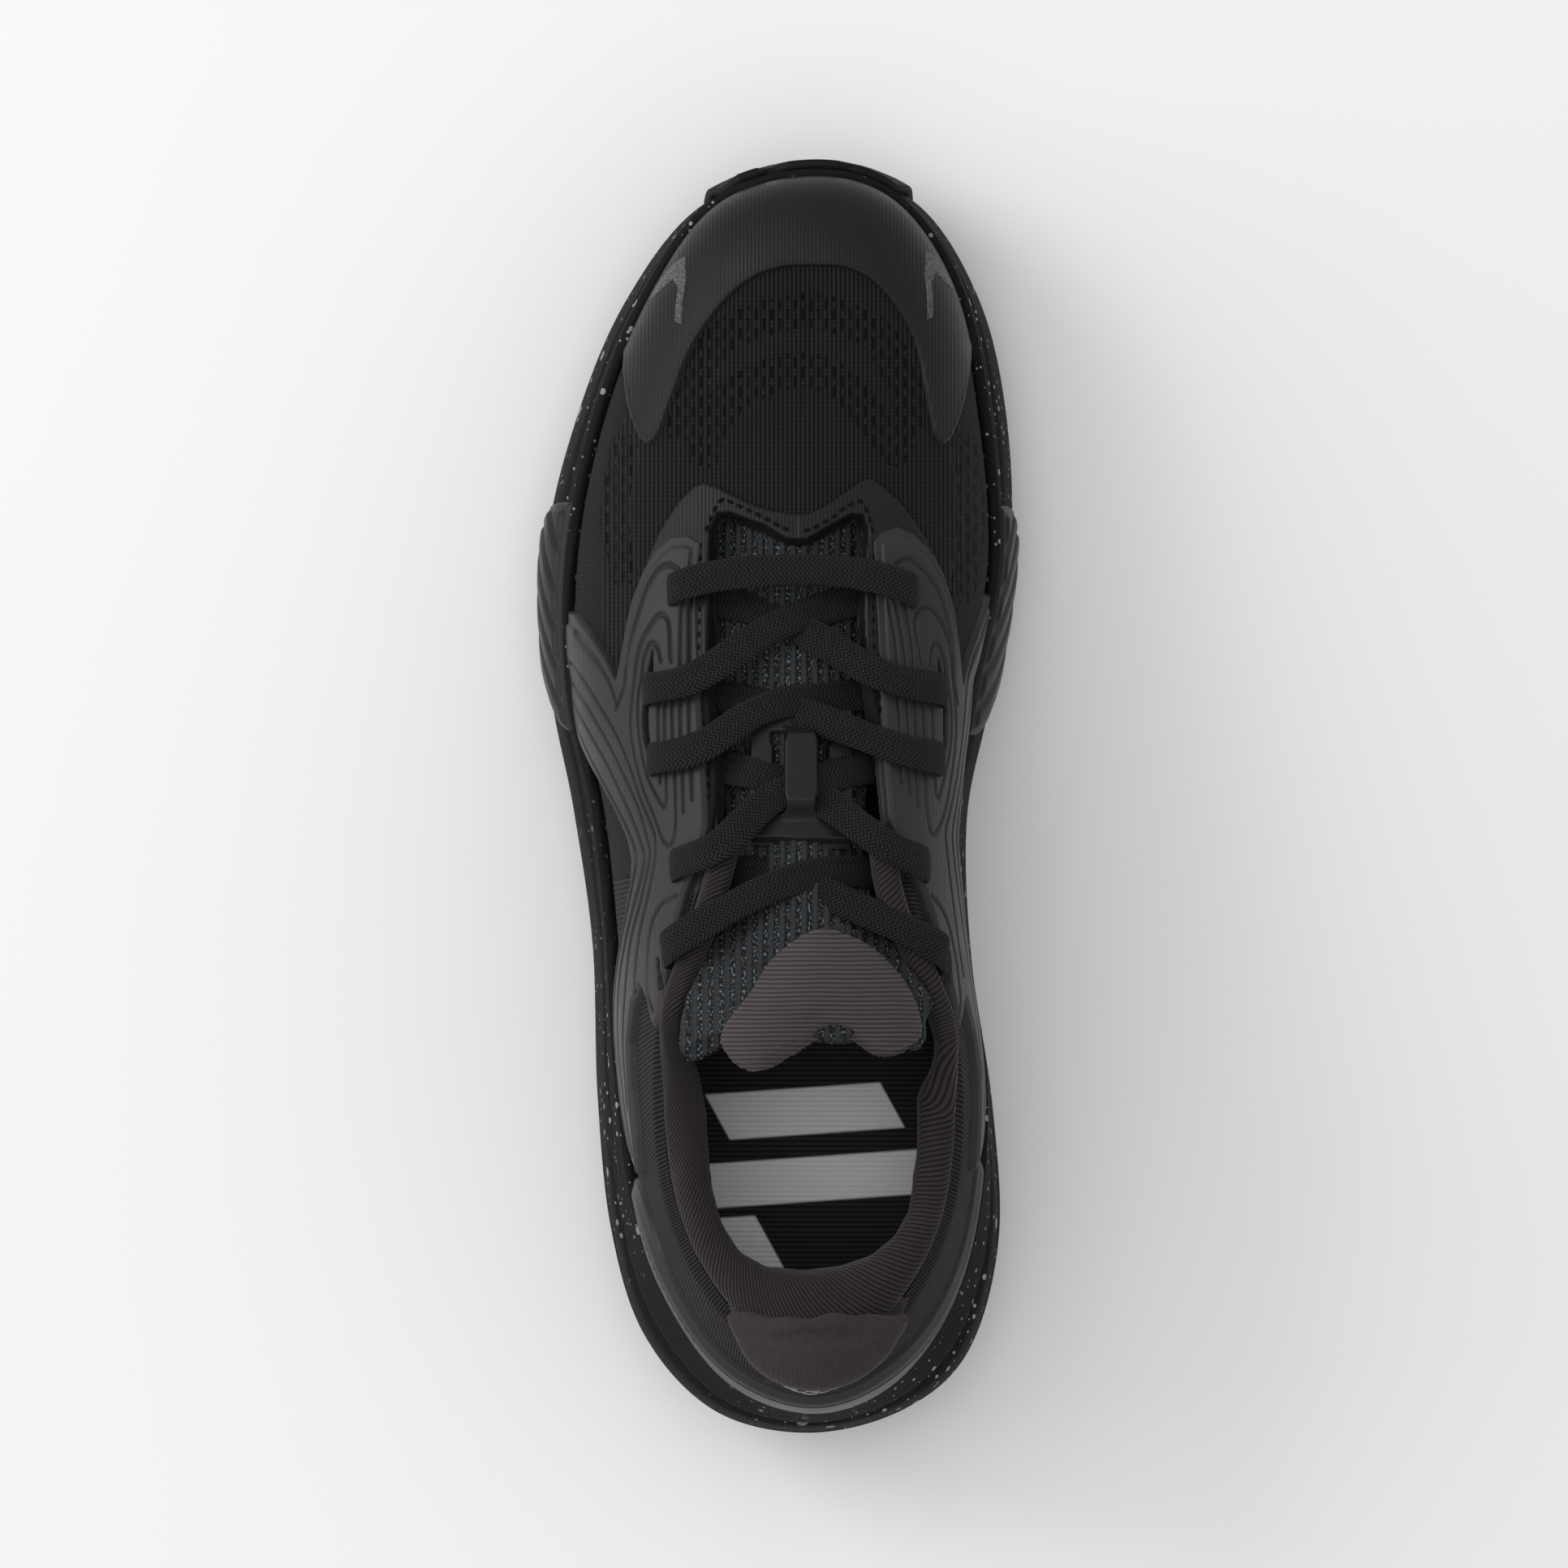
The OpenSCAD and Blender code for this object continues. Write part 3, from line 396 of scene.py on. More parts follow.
def shell_faces(n, m, keep):
    """Quads of a closed shell between an upper and a lower n x m grid of points."""
    index = np.arange(n * m).reshape(n, m)
    lower = index + n * m
    i, j = np.nonzero(keep)
    top = np.stack([index[i, j], index[i + 1, j], index[i + 1, j + 1], index[i, j + 1]], 1)
    low = np.stack([lower[i, j], lower[i, j + 1], lower[i + 1, j + 1], lower[i + 1, j]], 1)
    walls = []
    pad = np.pad(keep, 1)
    for di, dj, p, q in ((0, -1, (0, 0), (1, 0)), (1, 0, (1, 0), (1, 1)),
                         (0, 1, (1, 1), (0, 1)), (-1, 0, (0, 1), (0, 0))):
        open_side = keep & ~pad[1 + di:n + di, 1 + dj:m + dj]
        i, j = np.nonzero(open_side)
        s = (i + p[0], j + p[1])
        e = (i + q[0], j + q[1])
        walls.append(np.stack([index[e], index[s], lower[s], lower[e]], 1))
    return np.concatenate([top, low] + walls)


def doubled(values, width):
    """Values of a grid as rows, once for the upper and once for the lower points of a shell."""
    return None if values is None else np.concatenate([values.reshape(-1, width)] * 2)


def shell(name, upper, lower, keep=None, uvs=None, marks=None, turned=False):
    """Object from an upper and a lower grid of points in mm, joined by walls round the kept cells."""
    n, m = upper.shape[:2]
    faces = shell_faces(n, m, np.ones((n - 1, m - 1), bool) if keep is None else keep)
    points = np.concatenate([upper.reshape(-1, 3), lower.reshape(-1, 3)])
    return new_mesh(name, points, faces[:, ::-1] if turned else faces, doubled(uvs, 2), doubled(marks, 1))


def tidy(obj, fold=0.0):
    """Drops unused points and, with fold, welds points closer than that many mm."""
    bm = bmesh.new()
    bm.from_mesh(obj.data)
    if fold:
        bmesh.ops.remove_doubles(bm, verts=bm.verts, dist=fold * MM)
    loose = [v for v in bm.verts if not v.link_faces]
    bmesh.ops.delete(bm, geom=loose, context="VERTS")
    bm.to_mesh(obj.data)
    bm.free()
    return obj


def place(obj, look, body="shoe", nodes=()):
    obj.data.materials.clear()
    obj.data.materials.append(look)
    if body:
        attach(obj, body)
    if nodes:
        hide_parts(*nodes)
    return obj


def spaced(first, last, grain, per_unit):
    return np.linspace(first, last, max(3, int(abs(last - first) * per_unit / grain) + 1))


def skin_grid(a_low, a_high, t_low, t_high, grain):
    """Grids of places and shares between limits, with points about grain mm apart."""
    return grid(spaced(a_low, a_high, grain, SPAN_A), spaced(t_low, t_high, grain, SPAN_T))


def relief(name, a, t, top, under, keep=None, marks=None, fold=False):
    """Closed skin piece on grids of places a and shares t, from height under to height top."""
    a, t, top = np.broadcast_arrays(a, t, top)
    upper = ply(a, t, top)
    lower = ply(a, t, np.broadcast_to(under, a.shape))
    if fold:
        for grid in (upper, lower):
            grid[:, -1] = (grid[:, -1] + grid[::-1, -1]) / 2
    marks = np.zeros(a.shape) if marks is None else marks
    obj = shell(name, upper, lower, keep, pattern(a, t), marks)
    return tidy(obj, 0.02 if fold else 0.0)


def cells(mask):
    """Cells with any corner in the mask."""
    return mask[:-1, :-1] | mask[1:, :-1] | mask[:-1, 1:] | mask[1:, 1:]


def loft(name, rows, caps=True, uvs=None):
    """Closed tube: rows of rings, each ring closed."""
    rows = np.asarray(rows)
    n, m = rows.shape[:2]
    index = np.arange(n * m).reshape(n, m)
    nxt = np.roll(index, -1, 1)
    quads = np.stack([index[:-1], nxt[:-1], nxt[1:], index[1:]], -1).reshape(-1, 4)
    points = rows.reshape(-1, 3)
    if caps:
        ends = []
        for row, flip in ((0, True), (n - 1, False)):
            centre = len(points)
            points = np.concatenate([points, rows[row].mean(0)[None]])
            ring = index[row]
            turn = np.roll(ring, -1)
            quad = np.stack([ring, turn, np.full(m, centre), np.full(m, centre)], -1)
            ends.append(quad[:, ::-1] if flip else quad)
        flat = np.concatenate(ends)
    else:
        flat = np.zeros((0, 4), int)
    all_faces = [list(map(int, f)) for f in quads] + [
        list(dict.fromkeys(int(v) for v in f)) for f in flat]
    mesh = bpy.data.meshes.new(name)
    mesh.from_pydata((points * MM).tolist(), [], all_faces)
    mesh.validate()
    if uvs is not None:
        flat_uv = np.asarray(uvs, float).reshape(-1, 2)
        spare = np.zeros((len(points) - len(flat_uv), 2))
        lay_uvs(mesh, np.concatenate([flat_uv, spare]) * MM)
    return smooth_object(name, mesh)

# --- materials ----------------------------------------------------------------------------------


class Look:
    """A material's node graph, with short names for the nodes it needs."""

    def __init__(self, name, colour, rough, sheen=0.0, coat=0.0, specular=0.12):
        self.material = bpy.data.materials.new(name)
        self.material.use_nodes = True
        self.tree = self.material.node_tree
        self.shader = self.tree.nodes["Principled BSDF"]
        self.shader.inputs["Base Color"].default_value = (*colour, 1)
        self.shader.inputs["Roughness"].default_value = rough
        self.shader.inputs["Sheen Weight"].default_value = sheen
        self.shader.inputs["Sheen Roughness"].default_value = 0.4
        self.shader.inputs["Coat Weight"].default_value = coat
        self.shader.inputs["Specular IOR Level"].default_value = specular

    def node(self, kind, **values):
        n = self.tree.nodes.new(kind)
        for key, value in values.items():
            setattr(n, key, value)
        return n

    def feed(self, socket, value):
        if isinstance(value, bpy.types.NodeSocket):
            self.tree.links.new(value, socket)
        else:
            socket.default_value = value

    def math(self, kind, a, b=0.0, c=0.0):
        n = self.node("ShaderNodeMath", operation=kind)
        for socket, value in zip(n.inputs, (a, b, c)):
            self.feed(socket, value)
        return n.outputs[0]

    def plus(self, a, b):
        return self.math("ADD", a, b)

    def minus(self, a, b):
        return self.math("SUBTRACT", a, b)

    def times(self, a, b):
        return self.math("MULTIPLY", a, b)

    def affine(self, a, factor, plus):
        return self.math("MULTIPLY_ADD", a, factor, plus)

    def split(self, vector):
        n = self.node("ShaderNodeSeparateXYZ")
        self.feed(n.inputs[0], vector)
        return n.outputs[0], n.outputs[1], n.outputs[2]

    def place(self):
        """x, y and z of the point in the shoe's own frame, in metres."""
        return self.split(self.node("ShaderNodeTexCoord").outputs["Object"])

    def pattern(self):
        """Along and up the skin, in metres."""
        return self.split(self.node("ShaderNodeUVMap", uv_map="skin").outputs[0])[:2]

    def spot(self, on_skin):
        """Coordinates along and across, on the skin or in the shoe's own frame."""
        return self.pattern() if on_skin else self.place()[:2]

    def vector(self, x, y, z=0.0):
        n = self.node("ShaderNodeCombineXYZ")
        for socket, value in zip(n.inputs, (x, y, z)):
            self.feed(socket, value)
        return n.outputs[0]

    def wave(self, x, pitch, shift=0.0):
        """Sine of x with that pitch in metres, from 0 to 1."""
        phase = self.affine(x, 2 * math.pi / pitch, shift)
        return self.affine(self.math("SINE", phase), 0.5, 0.5)

    def texture(self, kind, scale, vector=None):
        n = self.node(kind)
        source = self.node("ShaderNodeTexCoord").outputs["Object"] if vector is None else vector
        self.feed(n.inputs["Vector"], source)
        n.inputs["Scale"].default_value = scale
        return n

    def noise(self, scale, detail=2.0, vector=None):
        n = self.texture("ShaderNodeTexNoise", scale, vector)
        n.inputs["Detail"].default_value = detail
        n.inputs["Roughness"].default_value = 0.5
        return n.outputs[0]

    def cells(self, scale, output="Distance"):
        return self.texture("ShaderNodeTexVoronoi", scale).outputs[output]

    def steps(self, value, low, high):
        """Smooth step of value from low to high."""
        n = self.node("ShaderNodeMapRange", interpolation_type="SMOOTHSTEP")
        self.feed(n.inputs["Value"], value)
        n.inputs["From Min"].default_value = low
        n.inputs["From Max"].default_value = high
        return n.outputs[0]

    def blend(self, factor, one, two):
        n = self.node("ShaderNodeMix", data_type="RGBA")
        self.feed(n.inputs[0], factor)
        for socket, value in ((n.inputs[6], one), (n.inputs[7], two)):
            self.feed(socket, value if isinstance(value, bpy.types.NodeSocket) else (*value, 1))
        return n.outputs[2]

    def mark(self):
        return self.node("ShaderNodeAttribute", attribute_name="mark").outputs["Fac"]

    def colour(self, socket):
        self.feed(self.shader.inputs["Base Color"], socket)
        return self

    def rough(self, value, low, high):
        n = self.node("ShaderNodeMapRange")
        self.feed(n.inputs["Value"], value)
        n.inputs["To Min"].default_value = low
        n.inputs["To Max"].default_value = high
        self.feed(self.shader.inputs["Roughness"], n.outputs[0])
        return self

    def bump(self, height, depth, before=None):
        """Bump of that depth in mm, added to an earlier one."""
        n = self.node("ShaderNodeBump")
        n.inputs["Strength"].default_value = 1.0
        n.inputs["Distance"].default_value = depth * MM
        self.feed(n.inputs["Height"], height)
        if before:
            self.feed(n.inputs["Normal"], before)
        self.feed(self.shader.inputs["Normal"], n.outputs[0])
        return n.outputs[0]


def knit(name, dark, light, pitch, stretch=1.0, rough=0.85, depth=0.35, on_skin=False, slits=False):
    """Knitted mesh: wales one way, stitches the other, with darker gaps between them."""
    k = Look(name, light, rough, sheen=0.03)
    x, y = k.spot(on_skin)
    if slits:
        along_skin, up_skin = k.pattern()
        facing = k.node("ShaderNodeSeparateXYZ")
        k.feed(facing.inputs[0], k.node("ShaderNodeTexCoord").outputs["Normal"])
        level = k.math("GREATER_THAN", facing.outputs[2], 0.55)
        wall = k.minus(1.0, level)
        x = k.plus(k.times(x, level), k.times(up_skin, wall))
        y = k.plus(k.times(y, level), k.times(along_skin, wall))
    wale = k.wave(x, pitch)
    slant = k.times(k.math("ABSOLUTE", k.minus(wale, 0.5)), pitch * 0.9)
    stitch = k.wave(k.plus(y, slant), pitch * stretch)
    height = k.times(k.math("POWER", wale, 0.7), k.affine(stitch, 0.45, 0.55))
    patch = k.noise(60, 3)
    tone = k.times(k.steps(height, 0.05, 0.75), k.affine(patch, 0.5, 0.75))
    base = k.blend(tone, dark, light)
    first = k.bump(k.noise(2500, 2), 0.05)
    second = k.bump(height, depth, first)
    if slits:
        px, py, _ = k.place()
        column = k.times(px, 1 / 0.00185)
        odd = k.times(k.math("MODULO", k.math("ROUND", column), 2.0), 0.5)
        off = k.math("ABSOLUTE", k.minus(column, k.math("ROUND", column)))
        row = k.math("FRACT", k.plus(k.times(py, 1 / 0.0046), odd))
        wide = k.minus(1.0, k.steps(off, 0.14, 0.24))
        tall = k.minus(1.0, k.steps(k.math("ABSOLUTE", k.minus(row, 0.5)), 0.25, 0.36))
        ragged = k.steps(k.plus(k.mark(), k.times(k.noise(700, 2), 0.5)), 0.6, 0.9)
        hole = k.times(k.times(wide, tall), ragged)
        base = k.blend(hole, base, (0.0015, 0.0015, 0.0015))
        k.bump(k.minus(1.0, hole), 0.7, second)
    k.colour(base)
    return k.material


def foam_look(name, base):
    """Matte foam with fine lines along it and pale paint specks of mixed sizes."""
    k = Look(name, base, 0.75, specular=0.15)
    z = k.place()[2]
    specks = None
    for scale, size, share in ((150, 0.22, 0.62), (320, 0.26, 0.52), (620, 0.27, 0.45)):
        near = k.cells(scale)
        chance = k.node("ShaderNodeSeparateXYZ")
        k.feed(chance.inputs[0], k.cells(scale, output="Color"))
        rare = k.math("GREATER_THAN", chance.outputs[0], share)
        reach = k.times(chance.outputs[1], size)
        dot = k.times(k.math("LESS_THAN", near, reach), rare)
        specks = dot if specks is None else k.math("MAXIMUM", specks, dot)
    zone = k.steps(k.noise(14, 2), 0.34, 0.52)
    specks = k.times(specks, zone)
    tone = k.blend(k.noise(180, 4), tuple(c * 0.8 for c in base), tuple(c * 1.25 for c in base))
    k.colour(k.blend(specks, tone, (0.24, 0.24, 0.235)))
    lines = k.wave(k.plus(z, k.times(k.noise(12, 1), 0.002)), 0.0011)
    first = k.bump(k.noise(1800, 3), 0.08)
    k.bump(lines, 0.12, first)
    return k.material


def moulded(name, base, rough, ribs=0.0, sheen=0.0, coat=0.0, shine=0.18, depth=0.06):
    """Satin moulding or film, with fine ribs across it where ribs is their pitch in mm."""
    k = Look(name, base, rough, sheen=sheen, coat=coat, specular=shine)
    x = k.place()[0]
    tone = k.noise(35, 3)
    k.colour(k.blend(tone, tuple(c * 0.85 for c in base), tuple(c * 1.18 for c in base)))
    k.rough(k.noise(120, 3), rough - 0.06, rough + 0.08)
    first = k.bump(k.noise(1500, 3), 0.025)
    if ribs:
        k.bump(k.wave(x, ribs * MM), depth, first)
    return k.material


def twill(name, dark, light, pitch, slope, on_skin=True, depth=0.25, brushed=False):
    """Fine diagonal ribs, or a brushed cloth with only a trace of them."""
    k = Look(name, light, 0.9, sheen=0.10)
    x, y = k.spot(on_skin)
    line = k.plus(k.times(x, math.cos(slope)), k.times(y, math.sin(slope)))
    wander = k.affine(k.noise(40, 2), 0.0012, line)
    rib = k.wave(wander, pitch)
    tone = k.times(k.steps(rib, 0.0, 0.8), k.affine(k.noise(90, 3), 0.6, 0.7))
    if brushed:
        tone = k.affine(rib, 0.12, k.affine(k.noise(700, 4), 0.8, 0.35))
    k.colour(k.blend(tone, dark, light))
    first = k.bump(k.noise(2600, 3), 0.09 if brushed else 0.05)
    k.bump(rib, 0.05 if brushed else depth, first)
    return k.material


def tongue_look(name):
    """Black spacer mesh in columns, with flecks of shiny yarn between them, their pale colour a painted
    glint.
    """
    k = Look(name, (0.02, 0.021, 0.023), 0.7)
    x, y, _ = k.place()
    column = k.wave(x, 0.0026)
    loops = k.wave(k.plus(y, k.times(column, 0.0006)), 0.0014)
    fine = k.wave(x, 0.00087)
    height = k.plus(k.times(column, 0.6), k.times(k.times(fine, loops), 0.4))
    dark = k.blend(height, (0.005, 0.005, 0.0057), (0.042, 0.045, 0.048))
    # Painted glint: the shiny yarn flecks get a pale bluish colour that stands for light caught on them.
    flecks = k.noise(2100, 1, vector=k.vector(x, k.times(y, 0.6)))
    shine = k.times(k.steps(flecks, 0.54, 0.64), k.steps(k.wave(x, 0.0026, math.pi), 0.45, 0.8))
    k.colour(k.blend(shine, dark, (0.11, 0.13, 0.14)))
    k.rough(shine, 0.8, 0.3)
    first = k.bump(k.noise(2600, 2), 0.08)
    k.bump(height, 0.5, first)
    return k.material


def lace_look(name):
    """Flat herringbone weave: slanted yarns that change hand across the lace."""
    k = Look(name, (0.03, 0.03, 0.031), 0.85, sheen=0.02)
    s, w = k.pattern()
    hand = k.math("ABSOLUTE", k.minus(k.math("FRACT", k.times(w, 1 / 0.0026)), 0.5))
    yarn = k.wave(k.plus(s, k.times(hand, 0.0028)), 0.0011)
    tone = k.times(yarn, k.affine(k.noise(500, 2), 0.8, 0.6))
    k.colour(k.blend(tone, (0.003, 0.003, 0.0032), (0.022, 0.022, 0.023)))
    first = k.bump(k.noise(3000, 2), 0.05)
    k.bump(yarn, 0.28, first)
    return k.material


# White bars printed on the insole: from and to along the shoe, then from and to across it, in metres
INSOLE_BARS = [(-0.056, -0.03, -0.07, -0.05), (-0.0795, -0.0685, -0.056, -0.013),
    (-0.0955, -0.085, -0.09, 0.03), (-0.111, -0.098, -0.09, -0.06), (-0.13, -0.115, -0.1, -0.0585)]


def insole_look(name):
    """Ribbed cloth printed with plain white bars and slanted ends on black."""
    k = Look(name, (0.6, 0.6, 0.6), 0.85, sheen=0.2)
    x, y, _ = k.place()
    slanted = k.affine(y, 0.55, x)

    def span(value, low, high):
        soft = 0.0004
        return k.times(k.steps(value, low - soft, low + soft),
                      k.minus(1.0, k.steps(value, high - soft, high + soft)))

    level = k.affine(x, -0.07, y)
    bars = None
    for low, high, first, last in INSOLE_BARS:
        bar = k.times(span(level, low, high), span(slanted, first, last))
        bars = bar if bars is None else k.math("MAXIMUM", bars, bar)
    rib = k.wave(y, 0.0012)
    white = k.blend(rib, (0.80, 0.80, 0.81), (0.92, 0.92, 0.93))
    black = k.blend(rib, (0.012, 0.010, 0.013), (0.040, 0.034, 0.041))
    k.colour(k.blend(bars, black, white))
    first = k.bump(k.noise(2200, 3), 0.05)
    k.bump(rib, 0.14, first)
    return k.material


def glitter(name):
    """Grey film of small reflecting grains."""
    k = Look(name, (0.08, 0.08, 0.082), 0.45)
    tint, height, _ = k.split(k.cells(2600, output="Color"))
    k.colour(k.blend(tint, (0.035, 0.035, 0.036), (0.13, 0.13, 0.135)))
    k.bump(height, 0.08)
    return k.material


def woven(name, base, pitch=0.0009, rough=0.85):
    """Plain woven cloth or yarn."""
    k = Look(name, base, rough, sheen=0.02)
    x, y, z = k.place()
    across_weave = k.affine(z, 0.83, x)
    weave = k.times(k.wave(across_weave, pitch), k.wave(k.plus(y, z), pitch))
    k.colour(k.blend(weave, tuple(c * 0.6 for c in base), tuple(min(1, c * 1.3) for c in base)))
    first = k.bump(k.noise(2200, 2), 0.05)
    k.bump(weave, 0.12, first)
    return k.material


FOAM = foam_look("foam", (0.0045, 0.0045, 0.0047))
RUBBER = moulded("tread_rubber", (0.006, 0.006, 0.006), 0.7)
SADDLE = moulded("saddle_moulding", (0.0095, 0.0095, 0.0098), 0.36)
VAMP = knit("vamp_knit", (0.0015, 0.0015, 0.0015), (0.0180, 0.0175, 0.0175), 0.00105, slits=True)
QUARTER = knit("quarter_knit", (0.004, 0.0037, 0.0037), (0.033, 0.0295, 0.029), 0.0010, on_skin=True)
LINING = woven("lining_cloth", (0.014, 0.013, 0.013))
FILM = moulded("film", (0.0085, 0.0082, 0.0078), 0.40, ribs=0.9)
EYESTAY = moulded("eyestay_moulding", (0.0265, 0.0245, 0.0235), 0.42, ribs=1.0, depth=0.02)
TAPE = woven("tape_cloth", (0.012, 0.0115, 0.0115))
THREAD = woven("thread", (0.004, 0.004, 0.004), pitch=0.0004)
GLITTER = glitter("glitter_film")
CLIP = moulded("clip_moulding", (0.020, 0.0195, 0.018), 0.38)
COLLAR = twill("collar_twill", (0.010, 0.0082, 0.009), (0.034, 0.0275, 0.030), 0.00105, 0.6)
TAB = twill("tab_brushed", (0.018, 0.0150, 0.016), (0.042, 0.0345, 0.037), 0.0013, 0.2, brushed=True)
PATCH = twill("patch_rib", (0.034, 0.028, 0.030), (0.080, 0.066, 0.070), 0.00105, math.pi / 2, on_skin=False)
TONGUE = tongue_look("tongue_mesh")
KEEPER = moulded("keeper_moulding", (0.012, 0.0117, 0.0113), 0.33)
LACE = lace_look("lace_weave")
INSOLE = insole_look("insole_cloth")
INSOLE_FOAM = foam_look("insole_foam", (0.05, 0.05, 0.052))
TIP = moulded("tip_sleeve", (0.012, 0.012, 0.012), 0.2, coat=0.5)
BOARD = woven("board", (0.20, 0.19, 0.18))
LABEL = woven("label_weave", (0.020, 0.020, 0.020), pitch=0.0006)
LABEL_LINE = woven("label_line", (0.42, 0.42, 0.42), pitch=0.0004)

# --- sole ---------------------------------------------------------------------------------------

WALL_PLY = 2.6
# The foam's side: mm outside the sole's line, and share of the height
SIDE = [(-6, 0), (-2, 0.14), (0, 0.4), (-1.2, 0.72)]
SIDE_KNOTS = np.array([share for _, share in SIDE] + [1])


def grown(p, a, d, z):
    """Points d mm outside p at height z."""
    return plan(p, z) + out_of(a) * np.asarray(d)[..., None]


def foam_side(a, v):
    """Side of the foam on grids of places a and heights v, from 0 at the tread edge to 1 at the top."""
    floor_z = foam_floor(sole(a)[..., 1])
    rows = [grown(sole(a), a, np.full(a.shape, d), floor_z + s * (wall_z(a) - floor_z)) for d, s in SIDE]
    rows.append(grown(seam(a), a, np.full(a.shape, WALL_PLY), wall_z(a) - 0.8))
    i = np.clip(np.searchsorted(SIDE_KNOTS, v, side="right") - 1, 0, len(SIDE) - 1)
    f = ((v - SIDE_KNOTS[i]) / (SIDE_KNOTS[i + 1] - SIDE_KNOTS[i]))[..., None]
    stack = np.stack(rows)
    pad = np.concatenate([2 * stack[:1] - stack[1:2], stack, 2 * stack[-1:] - stack[-2:-1]])
    return spline(*(np.take_along_axis(pad, (i + k)[None, ..., None], 0)[0] for k in range(4)), f)


def foam_steps(a, v):
    """Moulded ridges of the foam: two grooves round the heel and one long shallow line."""
    heel = 1 - ramp((along(a) - 0.2) / 0.16)
    ring_one = groove((v - 0.55) * 40, 1.1, 1.5) * heel
    ring_two = groove((v - 0.8) * 40, 0.9, 1.3) * heel
    waist = groove((v - 0.86) * 30, 0.8, 0.6) * (1 - heel)
    return ring_one + ring_two + waist


def midsole():
    """Foam midsole with its moulded side and the cup that the foot bed lies in."""
    count = int(640 / GRAIN)
    a = np.arange(count) * 2 / count
    v = np.linspace(1, 0, int(50 / GRAIN))
    A, V = np.meshgrid(a, v)
    side = foam_side(A, V) + out_of(A) * foam_steps(A, V)[..., None]
    lip = grown(seam(a), a, np.full(a.shape, 0.5), wall_z(a))
    cup = bed_edge(a) + out_of(a) * 0.5 - [0, 0, 1.5]
    top = middle(a, bed_z(a) - 1.5)
    under = middle(a, foam_floor(middle(a)[..., 1]))
    rows = np.concatenate([top[None], cup[None], lip[None], side, under[None]])
    obj = tidy(loft("midsole", rows, caps=False), 0.02)
    place(obj, FOAM, nodes=["midsole_foam"])


LIP_PLY = 2.4


def curved_tread(name, centre, half, lip, node):
    """Tread that follows the foam's underside round one end, with a lip up the foam."""
    a = np.linspace(centre - half, centre + half, int(half * 900 / GRAIN))
    v = np.linspace(0, 1, 22)
    A, V = grid(a, v)
    u = along(A)
    reach = u + (0.5 - u) * 0.2 * (half - np.abs(A - centre)) / half
    line = plan((seam(reach) + seam(2 - reach)) / 2, 0.0)
    height = lip * (1 + 0.12 * np.sin(A * 90) + 0.05 * np.sin(A * 211))
    rise = ramp((0.09 - np.abs(A - centre)) / 0.04)
    up = np.clip(1 - V * 2, 0, 1)
    side = foam_side(A, up * np.clip(height * rise, 0.02, 0.97))
    inner = mix(side, line, np.clip(V * 2 - 1, 0, 1)[..., None])
    under = plan(inner, foam_floor(inner[..., 1]))
    is_under = (V > 0.5)[..., None]
    body = np.where(is_under, under, side)
    way = np.where(is_under, np.array([0, 0, -1.0]), out_of(A))
    outer = body + way * np.where(V > 0.5, TREAD, LIP_PLY)[..., None]
    deep = body + way * 0.3
    place(tidy(shell(name, outer, deep), 0.005), RUBBER, nodes=[node])


# Ribbed wing: its outline as (share along, share up), then mm of foam wall, slant and pitch of the ribs
SADDLE_SHAPE = [(0.7, 1.0), (0.655, 1.0), (0.6, 1.0), (0.552, 1.0), (0.556, 0.8), (0.575, 0.5), (0.6, 0.3),
    (0.635, 0.2), (0.675, 0.3), (0.695, 0.6)]
SADDLE_HEIGHT = 32
RIB_SLANT = 26
RIB_PITCH = 7.5


def saddle(side):
    """Ribbed wing on the foam wall at the arch."""
    first, last = span_of(0.545, 0.705, side)
    a = spaced(first, last, GRAIN * 0.8, SPAN_A)
    v = np.linspace(0.1, 1.0, int(44 / GRAIN))
    A, V = grid(a, v)
    u = along(A)
    p = np.stack([u * SPAN_A, V * SADDLE_HEIGHT], -1)
    d = inside(p, [(s, t * SADDLE_HEIGHT / SPAN_T) for s, t in SADDLE_SHAPE])
    phase = (u * SPAN_A + V * RIB_SLANT) / RIB_PITCH
    rib = 1 - np.abs((phase % 1) - 0.5) * 2
    height = 0.9 + 0.9 * ramp(rib * 1.6) * ramp((d - 1.2) / 1.5)
    top = mix(-0.6, height, ramp(d / 0.8))
    edge = ramp((1.0 - V) / 0.03)
    top = mix(np.minimum(top, 1.0), top, edge)
    base = foam_side(A, V)
    out = out_of(A)
    name = side_name("saddle", side)
    obj = shell(name + "_wing", base + out * top[..., None], base - out * 0.9, cells(d > -1.0))
    place(tidy(obj), SADDLE, nodes=[name])


# --- upper --------------------------------------------------------------------------------------

FOOT = -0.96
MESH_OUT = -0.3
MESH_IN = -2.2
THROAT_FRONT = [(0.703, 0.78), (0.704, 0.82), (0.697, 0.90), (0.687, 0.97), (0.685, 1.06)]


def opening(side):
    """Outline of the throat and foot opening on one side, as (a, t) points."""
    u = np.linspace(0.34, 0.692, 24)
    rim = list(zip(u, edge_t(place_of(u, side))))
    front = [(s, t + 0.02 * side * (t < 0.9)) for s, t in THROAT_FRONT]
    points = rim + front + [(0.34, 1.06)]
    return sided(points, side)


def from_opening(a, t):
    """Distance in mm outside the throat, from grids of places and shares."""
    p = pattern(a, t)
    both = [-inside(p, opening(side)) for side in (1, -1)]
    return np.where(a <= 1, both[0], both[1])


def bands(x, y, lines, half):
    """1 on bands along plan lines in mm."""
    best = np.zeros(x.shape)
    p = np.stack([x, y], -1)
    for line in lines:
        q = curve(line) / [SPAN_A, SPAN_T]
        best = np.maximum(best, 1 - ramp((to_line(p, q) - half + 0.8) / 1.6))
    return best


